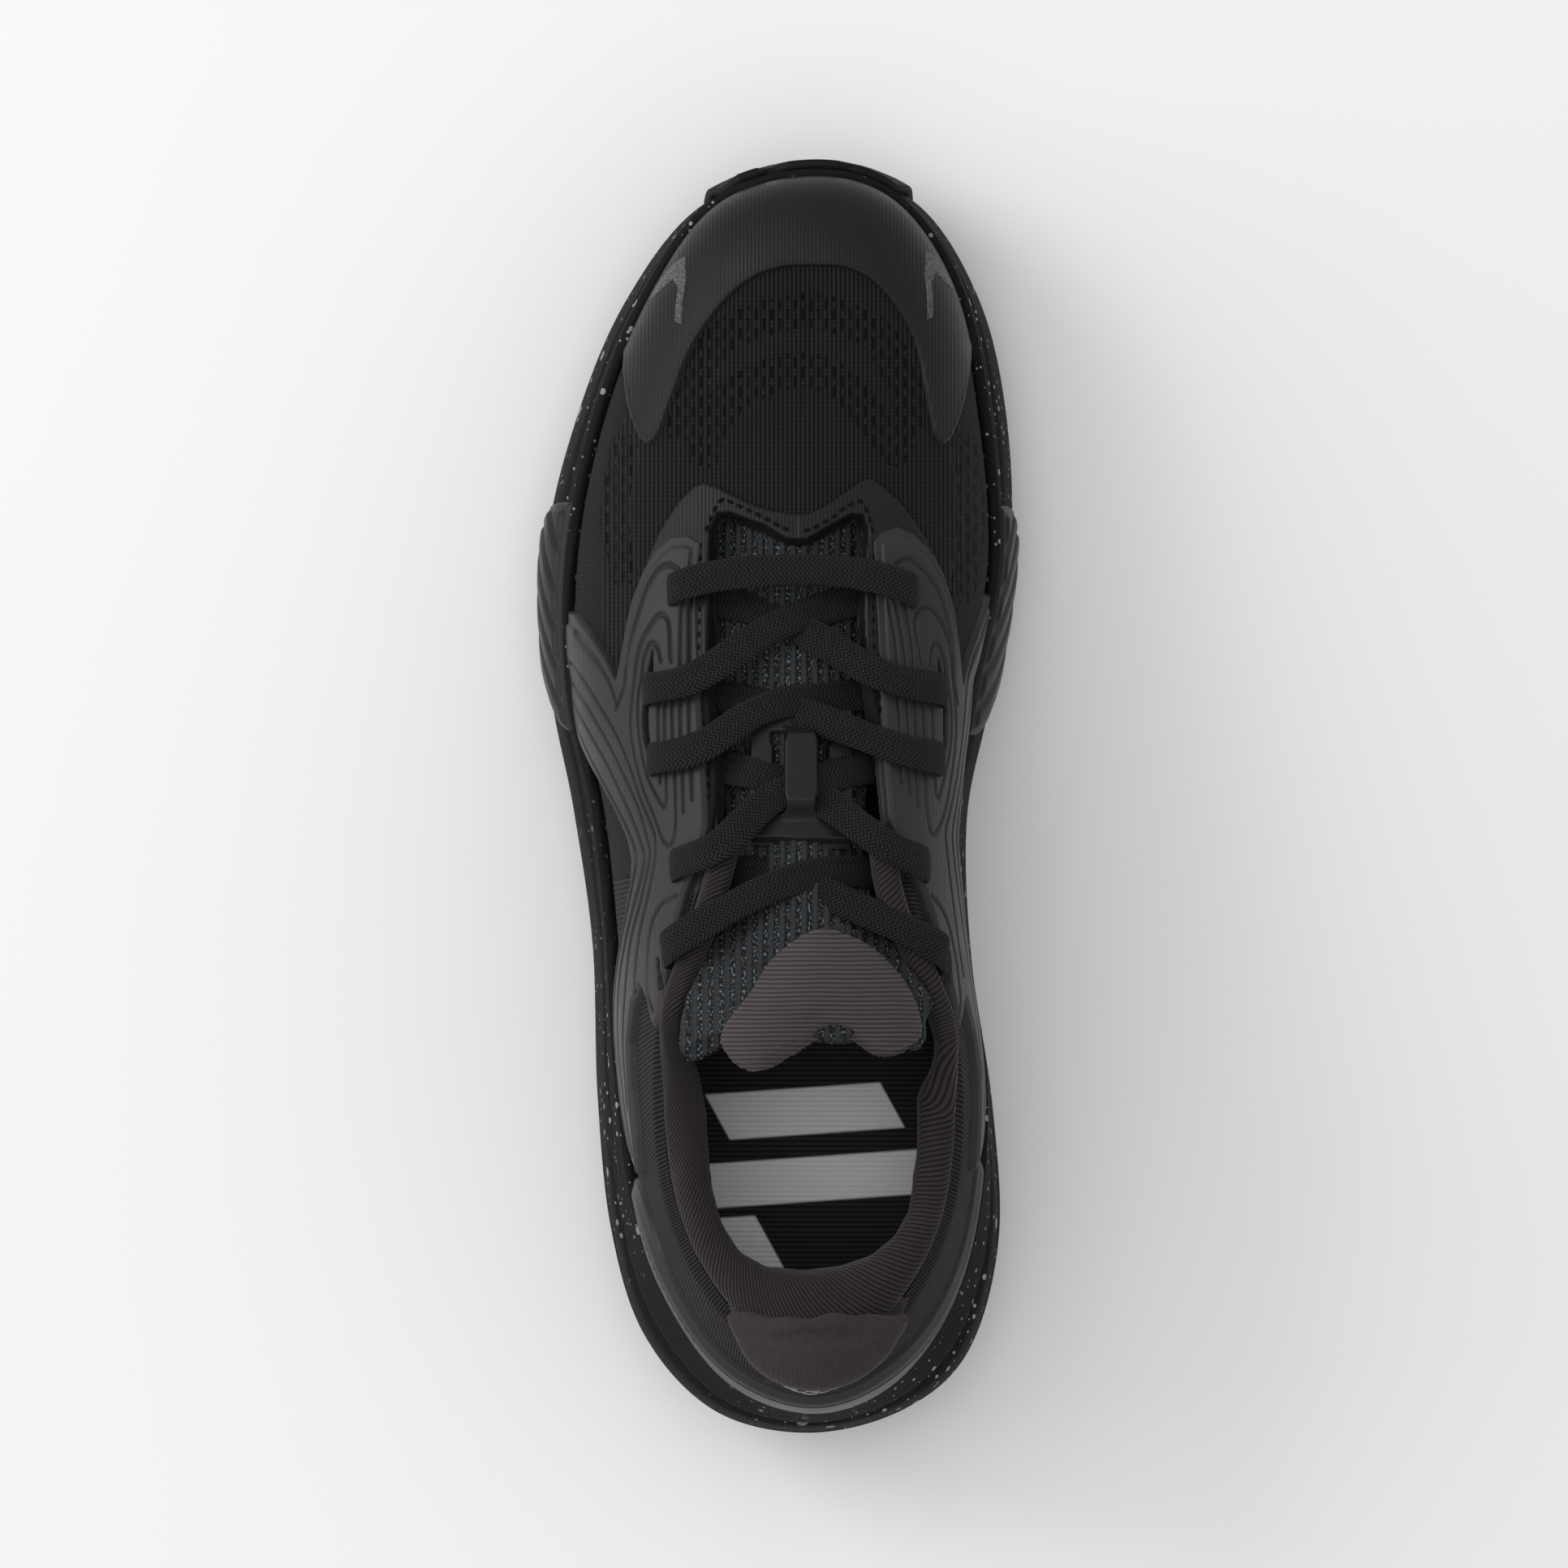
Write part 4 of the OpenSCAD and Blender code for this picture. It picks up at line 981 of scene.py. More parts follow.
TOE_ARCS = [[(-23, 89), (-18.5, 104), (-9, 112), (6.5, 116), (18, 113), (25, 108), (30.5, 94), (27, 83)],
    [(-17.7, 83), (-16.5, 88), (-10, 96.6), (6.5, 102), (18.7, 95), (25, 86)]]
SIDE_SLITS = [
    [(-37, 84), (-39, 68), (-37, 54)],
    [(44, 84), (46, 66), (43.5, 50)],
]


def vamp():
    """Knitted front of the upper, with darker bands of slits."""
    a = spaced(0.452, 1.548, GRAIN, SPAN_A)
    half = len(a) // 2
    a = np.concatenate([a[:half], [1.0], 2 - a[:half][::-1]])
    t = spaced(FOOT, 1.0, GRAIN, 62)
    A, T = grid(a, t)
    d = from_opening(A, T)
    top = np.where(T < 0, MESH_OUT, MESH_OUT - 3.2 * (1 - ramp((d - 1.0) / 1.5)))
    p = ply(A, T, 0.0)
    marks = np.maximum(bands(p[..., 0], p[..., 1], TOE_ARCS, 4.2),
                       bands(p[..., 0], p[..., 1], SIDE_SLITS, 3.2))
    keep = cells((d > 0.3) | (T < 0))
    top = top - 0.35 * marks
    obj = relief("vamp_knit", A, T, top, MESH_IN - 1.3, keep, marks * 0.999, fold=True)
    place(obj, VAMP, nodes=["vamp_mesh"])


def quarter(side):
    """Knitted side of the upper behind the vamp."""
    first, last = (0.001, 0.4535) if side > 0 else (-0.4535, -0.001)
    a = spaced(first, last, GRAIN, SPAN_A)
    f = np.linspace(0, 1, int(130 / GRAIN))
    A, F = grid(a, f)
    top_t = edge_t(A) - 0.012
    T = FOOT + (top_t - FOOT) * F
    top = np.where(T < 0, MESH_OUT, MESH_OUT - 1.6 * ramp((F - 0.975) / 0.025))
    name = side_name("quarter_mesh", side)
    obj = relief(name + "_knit", A, T, top, MESH_IN)
    place(obj, QUARTER, nodes=[name])


FILM_ARC = [(0.742, 0.47), (0.752, 0.505), (0.782, 0.528), (0.82, 0.55), (0.87, 0.625), (0.93, 0.74),
    (0.97, 0.797), (1.0, 0.808)]
FILM_LEG = [(0.744, 0.42), (0.757, 0.34), (0.777, 0.22), (0.79, 0.10), (0.795, -0.05)]


def mirrored(points):
    """Points of the medial side, then the same on the lateral side in reverse."""
    return list(points) + [(2 - a, t) for a, t in reversed(points)]


def toe_cap():
    """Film over the toe, with a leg down each side."""
    arc = curve(mirrored(FILM_ARC)[:len(FILM_ARC) + 2])[:6 * len(FILM_ARC) - 5]
    outline = mirrored(FILM_LEG[::-1] + list(map(tuple, arc)))
    a = spaced(0.725, 1.275, GRAIN * 0.8, SPAN_A)
    t = spaced(-0.03, 0.90, GRAIN * 0.8, SPAN_T)
    A, T = grid(a, t)
    d = inside(pattern(A, T), outline)
    top = mix(-0.9, 0.75, ramp(d / 0.7)) + 0.12 * ramp(1 - np.abs(d - 1.4) / 0.7)
    low = ramp((T + 0.03) / 0.02)
    obj = relief("toe_film", A, T, top * low, -1.2, cells(d > -0.9))
    place(obj, FILM, nodes=["toe_cap_film"])


CHIP = [(0.874, 0.27), (0.862, 0.37), (0.829, 0.47), (0.828, 0.42), (0.85, 0.345), (0.853, 0.275),
    (0.836, 0.18), (0.832, 0.12), (0.846, 0.13), (0.866, 0.2)]


CHIP_GRAIN = 0.4


def reflectors():
    """Glittering branching chip on each side of the toe film."""
    for side in (1, -1):
        A, T = skin_grid(*span_of(0.82, 0.885, side), 0.08, 0.52, CHIP_GRAIN)
        d = inside(pattern(A, T), sided(CHIP, side))
        top = mix(0.2, 0.98, ramp(d / 0.5))
        obj = relief(side_name("reflector", side), A, T, top, 0.1, cells(d > -0.6))
        place(obj, GLITTER, nodes=["toe_reflectors"])


THROAT_OUTER = {
    1: [(0.605, 0.42), (0.645, 0.435), (0.682, 0.55), (0.71, 0.66), (0.724, 0.73), (0.731, 0.77),
        (0.7305, 0.81), (0.722, 0.87), (0.713, 0.93), (0.709, 0.97), (0.709, 1.06)],
    -1: [(0.6, 0.44), (0.642, 0.47), (0.688, 0.56), (0.71, 0.62), (0.7225, 0.67), (0.726, 0.705),
        (0.7235, 0.76), (0.716, 0.84), (0.711, 0.91), (0.709, 0.97), (0.709, 1.06)],
}


def join(name, objects):
    """One object from several, put together as they are."""
    bpy.ops.object.select_all(action="DESELECT")
    for o in objects:
        o.select_set(True)
    bpy.context.view_layer.objects.active = objects[0]
    bpy.ops.object.join()
    objects[0].name = name
    return objects[0]


def throat_film():
    """Film round the front of the throat, in two halves that meet on the crown line."""
    halves = []
    for side in (1, -1):
        outline = sided(THROAT_OUTER[side] + [(0.60, 1.06)], side)
        A, T = skin_grid(*span_of(0.60, 0.74, side), 0.40, 1.0, GRAIN * 0.7)
        outer = inside(pattern(A, T), outline)
        rim = from_opening(A, T)
        top = mix(-0.9, 0.75, ramp(outer / 0.7))
        top = np.minimum(top, mix(-3.6, 0.9, ramp((rim + 0.3) / 0.9)))
        under = np.minimum(top - 0.3, -1.2)
        halves.append(relief("half", A, T, top, under, cells((outer > -0.8) & (rim > -0.4))))
    obj = join("throat_overlay", halves)
    place(tidy(obj, 0.05), FILM, nodes=["throat_film"])


# Moulded eyestays: outline, then the lines of their grooves, as (share along, share up) points
STAY = {
    -1: [(0.683, 0.72), (0.688, 0.67), (0.686, 0.61), (0.677, 0.56), (0.66, 0.51), (0.641, 0.47),
        (0.62, 0.44), (0.604, 0.42), (0.59, 0.395), (0.604, 0.35), (0.62, 0.26), (0.632, 0.13),
        (0.634, -0.03), (0.55, -0.03), (0.535, 0.08), (0.513, 0.2), (0.492, 0.29), (0.476, 0.34),
        (0.463, 0.355), (0.45, 0.34), (0.43, 0.28), (0.405, 0.18), (0.38, 0.08), (0.352, 0.02),
        (0.31, 0.04), (0.275, 0.13), (0.253, 0.22), (0.255, 0.24), (0.279, 0.25), (0.309, 0.25),
        (0.338, 0.27), (0.362, 0.33), (0.37, 0.38), (0.359, 0.41), (0.344, 0.43), (0.335, 0.46),
        (0.34, 0.5), (0.37, 0.53), (0.4, 0.58), (0.43, 0.63), (0.455, 0.69), (0.48, 0.725), (0.506, 0.725),
        (0.549, 0.725), (0.604, 0.715), (0.645, 0.71)],
    1: [(0.685, 0.77), (0.692, 0.74), (0.695, 0.68), (0.689, 0.62), (0.677, 0.55), (0.662, 0.49),
        (0.64, 0.43), (0.617, 0.375), (0.587, 0.3), (0.604, 0.27), (0.625, 0.19), (0.645, 0.07),
        (0.648, -0.03), (0.56, -0.03), (0.545, 0.04), (0.525, 0.1), (0.505, 0.17), (0.487, 0.23),
        (0.473, 0.255), (0.45, 0.22), (0.42, 0.14), (0.39, 0.06), (0.36, 0.02), (0.32, 0.05), (0.29, 0.12),
        (0.268, 0.19), (0.275, 0.215), (0.3, 0.22), (0.33, 0.23), (0.352, 0.27), (0.368, 0.33),
        (0.357, 0.36), (0.347, 0.39), (0.35, 0.42), (0.37, 0.45), (0.4, 0.5), (0.43, 0.56), (0.455, 0.64),
        (0.485, 0.7), (0.52, 0.715), (0.6, 0.735), (0.642, 0.755)],
}
GROOVES = {
    -1: [
        [(0.662, 0.65), (0.665, 0.62), (0.661, 0.58), (0.648, 0.54), (0.631, 0.51), (0.612, 0.475),
         (0.595, 0.45), (0.58, 0.43), (0.568, 0.39)],
        [(0.6, 0.625), (0.626, 0.62), (0.631, 0.59), (0.625, 0.56), (0.612, 0.52), (0.593, 0.49),
         (0.57, 0.465), (0.548, 0.45), (0.528, 0.455), (0.512, 0.47), (0.492, 0.51), (0.474, 0.545),
         (0.469, 0.58), (0.481, 0.6), (0.516, 0.61), (0.583, 0.625)],
        [(0.6, 0.59), (0.609, 0.58), (0.612, 0.56), (0.607, 0.54), (0.595, 0.52), (0.574, 0.495),
         (0.55, 0.485), (0.528, 0.49), (0.514, 0.51), (0.498, 0.555), (0.503, 0.57), (0.516, 0.575),
         (0.578, 0.6)],
        [(0.575, 0.575), (0.516, 0.55)],
        [(0.645, 0.665), (0.493, 0.635)],
        [(0.645, 0.69), (0.502, 0.67)],
        [(0.619, 0.16), (0.603, 0.29), (0.585, 0.37), (0.569, 0.4)],
        [(0.601, 0.02), (0.596, 0.14), (0.585, 0.23), (0.568, 0.32), (0.55, 0.38), (0.528, 0.42),
         (0.506, 0.45), (0.483, 0.5), (0.471, 0.51), (0.457, 0.5), (0.432, 0.455), (0.41, 0.4),
         (0.385, 0.36), (0.37, 0.35)],
        [(0.588, 0.02), (0.582, 0.12), (0.574, 0.2), (0.561, 0.27), (0.544, 0.33), (0.519, 0.39),
         (0.497, 0.44), (0.476, 0.47), (0.465, 0.48), (0.451, 0.46), (0.43, 0.41), (0.405, 0.33),
         (0.375, 0.27), (0.34, 0.22), (0.3, 0.21)],
        [(0.575, 0.02), (0.569, 0.1), (0.557, 0.19), (0.535, 0.28), (0.513, 0.34), (0.491, 0.4),
         (0.472, 0.44), (0.463, 0.45), (0.45, 0.43), (0.43, 0.37), (0.405, 0.28), (0.38, 0.2),
         (0.345, 0.15), (0.3, 0.17), (0.27, 0.21)],
        [(0.562, 0.02), (0.553, 0.09), (0.535, 0.17), (0.513, 0.26), (0.491, 0.345), (0.473, 0.395),
         (0.463, 0.405), (0.451, 0.385), (0.43, 0.325), (0.405, 0.23), (0.38, 0.14), (0.35, 0.085),
         (0.305, 0.11), (0.27, 0.18)],
        [(0.43, 0.6), (0.426, 0.53), (0.414, 0.475), (0.393, 0.445), (0.365, 0.44), (0.35, 0.465)],
    ],
    1: [
        [(0.667, 0.69), (0.67, 0.65), (0.665, 0.6), (0.651, 0.53), (0.632, 0.475), (0.608, 0.425),
         (0.585, 0.38), (0.572, 0.35)],
        [(0.598, 0.57), (0.626, 0.61), (0.636, 0.59), (0.637, 0.56), (0.63, 0.51), (0.617, 0.46),
         (0.595, 0.405), (0.57, 0.37), (0.544, 0.355), (0.522, 0.375), (0.499, 0.415), (0.483, 0.47),
         (0.478, 0.51), (0.494, 0.535), (0.53, 0.545), (0.578, 0.56)],
        [(0.598, 0.53), (0.609, 0.53), (0.613, 0.51), (0.606, 0.48), (0.587, 0.43), (0.565, 0.4),
         (0.543, 0.395), (0.526, 0.42), (0.505, 0.465), (0.51, 0.485), (0.53, 0.5), (0.576, 0.515)],
        [(0.64, 0.65), (0.587, 0.6), (0.498, 0.58)],
        [(0.64, 0.685), (0.591, 0.635), (0.507, 0.615)],
        [(0.64, 0.71), (0.596, 0.67), (0.515, 0.65)],
        [(0.637, 0.07), (0.62, 0.15), (0.6, 0.24), (0.578, 0.27), (0.561, 0.28), (0.539, 0.295),
         (0.518, 0.325), (0.495, 0.385), (0.481, 0.42), (0.464, 0.41), (0.44, 0.39), (0.41, 0.36),
         (0.385, 0.34)],
        [(0.62, 0.02), (0.603, 0.11), (0.58, 0.18), (0.56, 0.215), (0.54, 0.24), (0.518, 0.27),
         (0.495, 0.33), (0.481, 0.36), (0.464, 0.35), (0.437, 0.315), (0.405, 0.26), (0.37, 0.22),
         (0.33, 0.2)],
        [(0.602, 0.02), (0.582, 0.09), (0.56, 0.145), (0.54, 0.18), (0.518, 0.22), (0.495, 0.28),
         (0.481, 0.31), (0.464, 0.3), (0.437, 0.26), (0.405, 0.19), (0.365, 0.15), (0.31, 0.16)],
        [(0.585, 0.02), (0.564, 0.075), (0.54, 0.12), (0.518, 0.165), (0.495, 0.23), (0.481, 0.265),
         (0.464, 0.25), (0.437, 0.205), (0.405, 0.135), (0.365, 0.09), (0.305, 0.13)],
        [(0.432, 0.53), (0.424, 0.47), (0.412, 0.425), (0.392, 0.395), (0.368, 0.39), (0.358, 0.41)],
    ],
}
WINDOW = {
    -1: [(0.607, 0.562), (0.592, 0.54), (0.577, 0.525), (0.562, 0.508), (0.546, 0.503), (0.535, 0.515),
        (0.545, 0.525), (0.562, 0.528), (0.577, 0.54), (0.592, 0.555)],
    1: [(0.602, 0.495), (0.587, 0.455), (0.567, 0.425), (0.547, 0.42), (0.535, 0.435), (0.548, 0.445),
        (0.567, 0.45), (0.585, 0.475)],
}
SPARE_SLOT = {-1: [(0.385, 0.50), (0.366, 0.505)], 1: [(0.394, 0.445), (0.377, 0.45)]}


def eyestay(side):
    """Moulded eyestay with grooves, a window and a spare lace slot."""
    A, T = skin_grid(*span_of(0.245, 0.70, side), -0.03, 0.80, GRAIN * 0.5)
    p = pattern(A, T)
    u = along(A)
    d = inside(p, sided(STAY[side], side))
    height = 1.3 + 0.6 * ramp((d - 2.6) / 0.7) * ramp((u - 0.585) / 0.02)
    height = height + 0.7 * ramp((0.60 - u) / 0.05) * ramp((d - 0.6) / 1.6)
    for line in GROOVES[side]:
        height = height + groove(to_line(p, curve(sided(line, side))), 0.45, 0.85)
    top = mix(-0.9, height, ramp(d / 0.75))
    window = inside(p, sided(WINDOW[side], side))
    top = mix(top, -0.9, ramp((window + 0.4) / 0.7))
    spare = to_line(p, sided(SPARE_SLOT[side], side))
    top = mix(top, -0.9, 1 - ramp((spare - 0.5) / 0.5))
    top = top * ramp((T + 0.03) / 0.02)
    name = side_name("eyestay", side)
    obj = relief(name + "_moulding", A, T, top, -1.2, cells(d > -0.9))
    place(obj, EYESTAY, nodes=[name])


def tape(side):
    """Cloth band between the moulding and the throat's edge."""
    a = spaced(*span_of(0.47, 0.70, side), GRAIN * 0.8, SPAN_A)
    f = np.linspace(0, 1, int(16 / GRAIN) + 6)
    A, F = grid(a, f)
    edge = edge_t(A)
    T = edge - 0.10 + 0.105 * F
    rim = (edge - T) * SPAN_T
    top = mix(-3.4, 0.35, ramp((rim + 0.3) / 1.0))
    top = top + groove(rim - 2.6, 0.3, 0.35) + groove(rim - 4.4, 0.3, 0.35)
    fade = ramp((along(A) - 0.472) / 0.012) * ramp((0.698 - along(A)) / 0.01)
    top = mix(-2.4, top, fade)
    name = side_name("eyestay_tape", side)
    obj = relief(name + "_band", A, T, top, -3.7)
    place(obj, TAPE, nodes=[name])


CLIP_TOP = [(-0.262, -0.03), (-0.262, 0.06), (-0.255, 0.13), (-0.235, 0.19), (-0.2, 0.235), (-0.16, 0.255),
    (-0.125, 0.27), (-0.09, 0.29), (-0.05, 0.31), (0.0, 0.32), (0.05, 0.31), (0.1, 0.275), (0.15, 0.215),
    (0.2, 0.15), (0.24, 0.105), (0.275, 0.075), (0.289, 0.03), (0.289, -0.03)]


def clip():
    """Cradle round the heel: a lit bevel along its upper edge, then a step and a darker face."""
    A, T = grid(spaced(-0.27, 0.297, GRAIN * 0.8, 330), spaced(-0.03, 0.345, GRAIN * 0.7, SPAN_T))
    p = pattern(A, T)
    d = inside(p, curve(CLIP_TOP))
    bevel = mix(0.6, 2.2, ramp(d / 4.5))
    face = groove(np.abs(d - 5.6), 0.45, 0.8)
    row = ramp(1 - np.abs(d - 7.4) / 0.8) * ramp((np.abs(A) - 0.10) / 0.02)
    teeth = (np.sin(A * SPAN_A * 2.2) > 0.25) * row
    top = mix(-0.9, bevel + face - 0.5 * teeth, ramp(d / 0.7))
    top = top * ramp((T + 0.03) / 0.015)
    obj = relief("heel_cradle", A, T, top, -1.2, cells(d > -0.9))
    place(obj, CLIP, nodes=["heel_clip"])


def stitches(name, lines, off, length=2.2, gap=0.9, thick=0.42, look=None):
    """Row of short threads along lines of (a, t) points on the skin."""
    points, faces = [], []
    sides = 6
    for line in lines:
        path = curve(line, count=10)
        spots = ply(path[:, 0], path[:, 1], off)
        normals = skin_normal(path[:, 0], path[:, 1])
        travel = np.concatenate([[0], np.cumsum(np.linalg.norm(np.diff(spots, axis=0), axis=1))])
        start = 0.0
        while start + length < travel[-1]:
            s = start + np.array([0, 0.2, 0.5, 0.8, 1.0]) * length
            centre = np.stack([np.interp(s, travel, spots[:, k]) for k in range(3)], -1)
            up = unit(np.stack([np.interp(s, travel, normals[:, k]) for k in range(3)], -1))
            way = unit(np.gradient(centre, axis=0))
            flank = unit(np.cross(way, up))
            swell = np.array([0.25, 0.85, 1.0, 0.85, 0.25])[:, None, None] * thick
            lift = np.array([-0.35, 0.05, 0.15, 0.05, -0.35])[:, None]
            angle = np.arange(sides) * 2 * math.pi / sides
            ring = (centre + up * lift)[:, None] + swell * (
                flank[:, None] * np.cos(angle)[None, :, None] + up[:, None] * np.sin(angle)[None, :, None])
            base = len(points)
            points.extend(ring.reshape(-1, 3))
            for i in range(4):
                for k in range(sides):
                    n = (k + 1) % sides
                    faces.append([base + i * sides + k, base + i * sides + n,
                                  base + (i + 1) * sides + n, base + (i + 1) * sides + k])
            for i, order in ((0, (0, 5, 4, 3)), (0, (0, 3, 2, 1)), (4, (0, 1, 2, 3)), (4, (0, 3, 4, 5))):
                faces.append([base + i * sides + k for k in order])
            start += length + gap
    obj = new_mesh(name, points, faces)
    place(obj, look or THREAD)
    return obj


def seams():
    """Stitching round the throat and along the bands beside it."""
    lines = []
    for side in (1, -1):
        a = place_of(np.linspace(0.50, 0.69, 14), side)
        lines.append(list(zip(a, edge_t(a) - 2.7 / SPAN_T)))
    stitches("band_stitching", lines, 0.5)
    front = [(0.690, 0.745), (0.7125, 0.785), (0.7115, 0.83), (0.703, 0.90), (0.696, 0.955), (0.693, 0.998)]
    both = [sided([(s, t + 0.02 * side * (t < 0.85)) for s, t in front], side) for side in (1, -1)]
    stitches("throat_stitching", both, 1.0, length=1.8, gap=0.7)


# --- collar -------------------------------------------------------------------------------------

# Section of the collar beside the tongue: share above the edge, and mm off the skin
ROLL_RIM = [[0.05, -2.9], [0.014, -3], [0.01, -1.6], [0.014, 1], [0.05, 2.6], [0.09, 1], [0.095, -1],
    [0.08, -2.6]]
# Inner edge of the foot opening, seen from above: place round the shoe, then x and y
COLLAR_INNER = [(-0.4, -20.5, -40), (-0.335, -22.2, -52), (-0.297, -21.2, -61.2), (-0.25, -18.4, -75),
    (-0.203, -17.6, -89), (-0.165, -15, -99.5), (-0.12, -10.2, -107.5), (-0.07, -3.5, -111.5),
    (0, 6, -112.8), (0.06, 14.5, -111.6), (0.11, 22, -108.7), (0.15, 27.5, -104), (0.19, 31.3, -97.3),
    (0.245, 33.3, -84), (0.29, 33.5, -70), (0.33, 34.4, -60), (0.4, 32, -44)]


ROLL_GAP = 0.9
ROLL_DEPTH = 2.1


def roll_rows(a):
    """The eight section points of the padded collar roll at places a."""
    t = edge_t(a)
    hug = MESH_IN - ROLL_GAP
    deep = hug - ROLL_DEPTH
    rim = skin(a, t)
    up = np.array([0, 0, 1.0])
    stations = np.array(COLLAR_INNER)
    inner = np.stack([np.interp(a, stations[:, 0], stations[:, k]) for k in (1, 2)], -1)
    for _ in range(int(9 / (a[1] - a[0]) / SPAN_A)):
        inner[1:-1] = (inner[:-2] + 2 * inner[1:-1] + inner[2:]) / 4
    inner = plan(inner, rim[..., 2])
    hugging = [
        ply(a, t - 0.26, deep), ply(a, t - 0.13, deep), ply(a, t - 0.02, hug),
        mix(rim, inner, 0.20) + up * 2.0, mix(rim, inner, 0.55) + up * 4.0, inner + up * 0.6,
        mix(rim, inner, 0.99) - up * 8, mix(rim, inner, 0.55) - up * 17]
    f = ramp((along(a) - 0.285) / 0.07)[..., None]
    return np.stack([mix(hugging[k], ply(a, t + r[0], r[1]), f) for k, r in enumerate(ROLL_RIM)])


COLLAR_SWELL = 1.10


def collar():
    """Padded collar roll under its knitted lining."""
    a = np.linspace(-0.47, 0.485, int(330 / GRAIN / 1.4))
    rows = roll_rows(a)
    count = 9
    ring = curve(rows.reshape(8, -1), closed=True, count=count).reshape(-1, len(a), 3)
    centre = ring.mean(0)
    ring = centre + (ring - centre) * COLLAR_SWELL
    taper = np.minimum(ramp((a + 0.47) / 0.012), ramp((0.485 - a) / 0.012))
    ring = centre + (ring - centre) * (0.25 + 0.75 * taper)[:, None]
    ring = np.swapaxes(ring, 0, 1)
    around = np.cumsum(np.linalg.norm(np.diff(ring, axis=1, append=ring[:, :1]), axis=2), axis=1)
    travel = np.cumsum(np.linalg.norm(np.diff(centre, axis=0, prepend=centre[:1]), axis=1))
    uvs = np.stack([np.broadcast_to(travel[:, None], around.shape), around], -1)
    return loft("collar_roll", ring, uvs=uvs)


TAB_FOOT = 0.385


def heel_tab():
    """Brushed padded patch outside the top of the heel, below the crease of the collar."""
    a = np.linspace(-0.15, 0.155, int(90 / GRAIN))
    f = np.linspace(0, 1, int(46 / GRAIN))
    rows = roll_rows(a)
    t = edge_t(a)
    foot = np.full(a.shape, TAB_FOOT)
    knots = np.stack([ply(a, foot, 0.6), ply(a, mix(foot, t, 0.25), 1.2),
                      ply(a, mix(foot, t, 0.55), 2.6), ply(a, mix(foot, t, 0.85), 3.0),
                      rows[3] + [0, 0, 1.0], rows[4] + [0, 0, 0.8],
                      mix(rows[4], rows[5], 0.4) + [0, 0, 0.4]])
    body = curve(knots.reshape(7, -1), count=40).reshape(-1, len(a), 3)
    pickf = (f * (len(body) - 1)).astype(int)
    top = np.swapaxes(body[pickf], 0, 1)
    A, F = grid(a, f)
    x = (top[..., 0] - 9.7) / 22.5
    low = 0.37 + 0.24 * np.abs(x) ** 3.4
    d = np.minimum(np.minimum((F - low) * 44, (1 - np.abs(x)) * 30), -118.8 - top[..., 1])
    puffed = 3.2 * crowned(d / 8)
    dimple = -1.9 * np.exp(-(((top[..., 1] + 125.2 + 2.0 * x**2) / 1.9) ** 2)) * np.exp(-((x / 0.6) ** 2))
    gradient = unit(np.cross(np.gradient(top, axis=0), np.gradient(top, axis=1)))
    tuck = ramp((top[..., 1] + 121.6 - 0.5 * np.sin(x * 6) - 0.3 * np.sin(x * 15)) / 1.6)
    height = mix(-3.6, mix(0.3 + puffed + dimple, -2.6, tuck), ramp(d / 0.9))
    obj = shell("heel_tab", top + gradient * height[..., None], top - gradient * 4.4, cells(d > -1.2),
                pattern(A, F * 0.5))
    return tidy(obj)


def label():
    """Small woven label at the back of the heel with plain pale lines."""
    A, T = grid(np.linspace(-0.05, 0.055, 60), np.linspace(0.33, 0.425, 40))
    x = (A - 0.003) / 0.05
    d = np.minimum((1 - np.abs(x)) * 14, np.minimum(T - 0.335, 0.42 - T) * SPAN_T)
    obj = relief("heel_tag", A, T, mix(-0.9, 1.0, ramp(d / 0.6)), -1.2, cells(d > -0.6))
    place(obj, LABEL, nodes=["heel_label"])
    lines = [[(low, t), (high, t)] for low, high, t in
             ((-0.03, 0.036, 0.375), (-0.022, 0.028, 0.365), (-0.012, 0.018, 0.355))]
    stitches("heel_tag_lines", lines, 1.05, length=5.0, gap=0.4, thick=0.22, look=LABEL_LINE)


# --- tongue -------------------------------------------------------------------------------------

FLEX = 0.375
TONGUE_END = 0.298


def pad_point(u, v, off):
    """Point on the tongue as worn: its free end spreads sideways between the sides of the collar."""
    p = across(u, v, off)
    spread = 0.72 * (1 - ramp((u - 0.325) / 0.14))
    centre = crown(u)[..., 0]
    p[..., 0] = centre + (p[..., 0] - centre) * (1 + spread)
    return p


def tongue():
    """Padded tongue of spacer mesh from under the laces to its free end."""
    u = spaced(TONGUE_END, 0.715, GRAIN, SPAN_A)
    v = np.linspace(-1, 1, int(90 / GRAIN))
    U, V = grid(u, v)
    rim = np.minimum((1 - np.abs(V)) * 38, (U - TONGUE_END) * SPAN_A - 2.5 * np.sin(V * 3.2))
    V = V * 1.16
    rim = rim - 5.5 * ramp((pad_point(U, V, 0.0)[..., 0] - 13) / 8) * ramp((0.36 - U) / 0.03)
    round_off = 1 - ramp(rim / 3.2)
    columns = 0.22 * np.sin(pad_point(U, V, 0.0)[..., 0] * 2 * math.pi / 2.6)
    top = pad_point(U, V, 1.3 + columns * (1 - round_off) - 2.6 * round_off**2)
    low = pad_point(U, V, -5.0 + 2.2 * round_off**2)
    return tidy(shell("tongue_pad", top, low, cells(rim > 0), turned=True))


PATCH_SHAPE = [(8, -30.5), (-1.3, -37), (-6.5, -45.5), (-12, -54), (-11.2, -60), (-5, -62.6), (3, -58.5),
    (11.7, -53.5), (18.1, -55.6), (24, -59), (30.8, -56.5), (29.4, -46.5), (23, -36.8), (15.6, -31.8)]


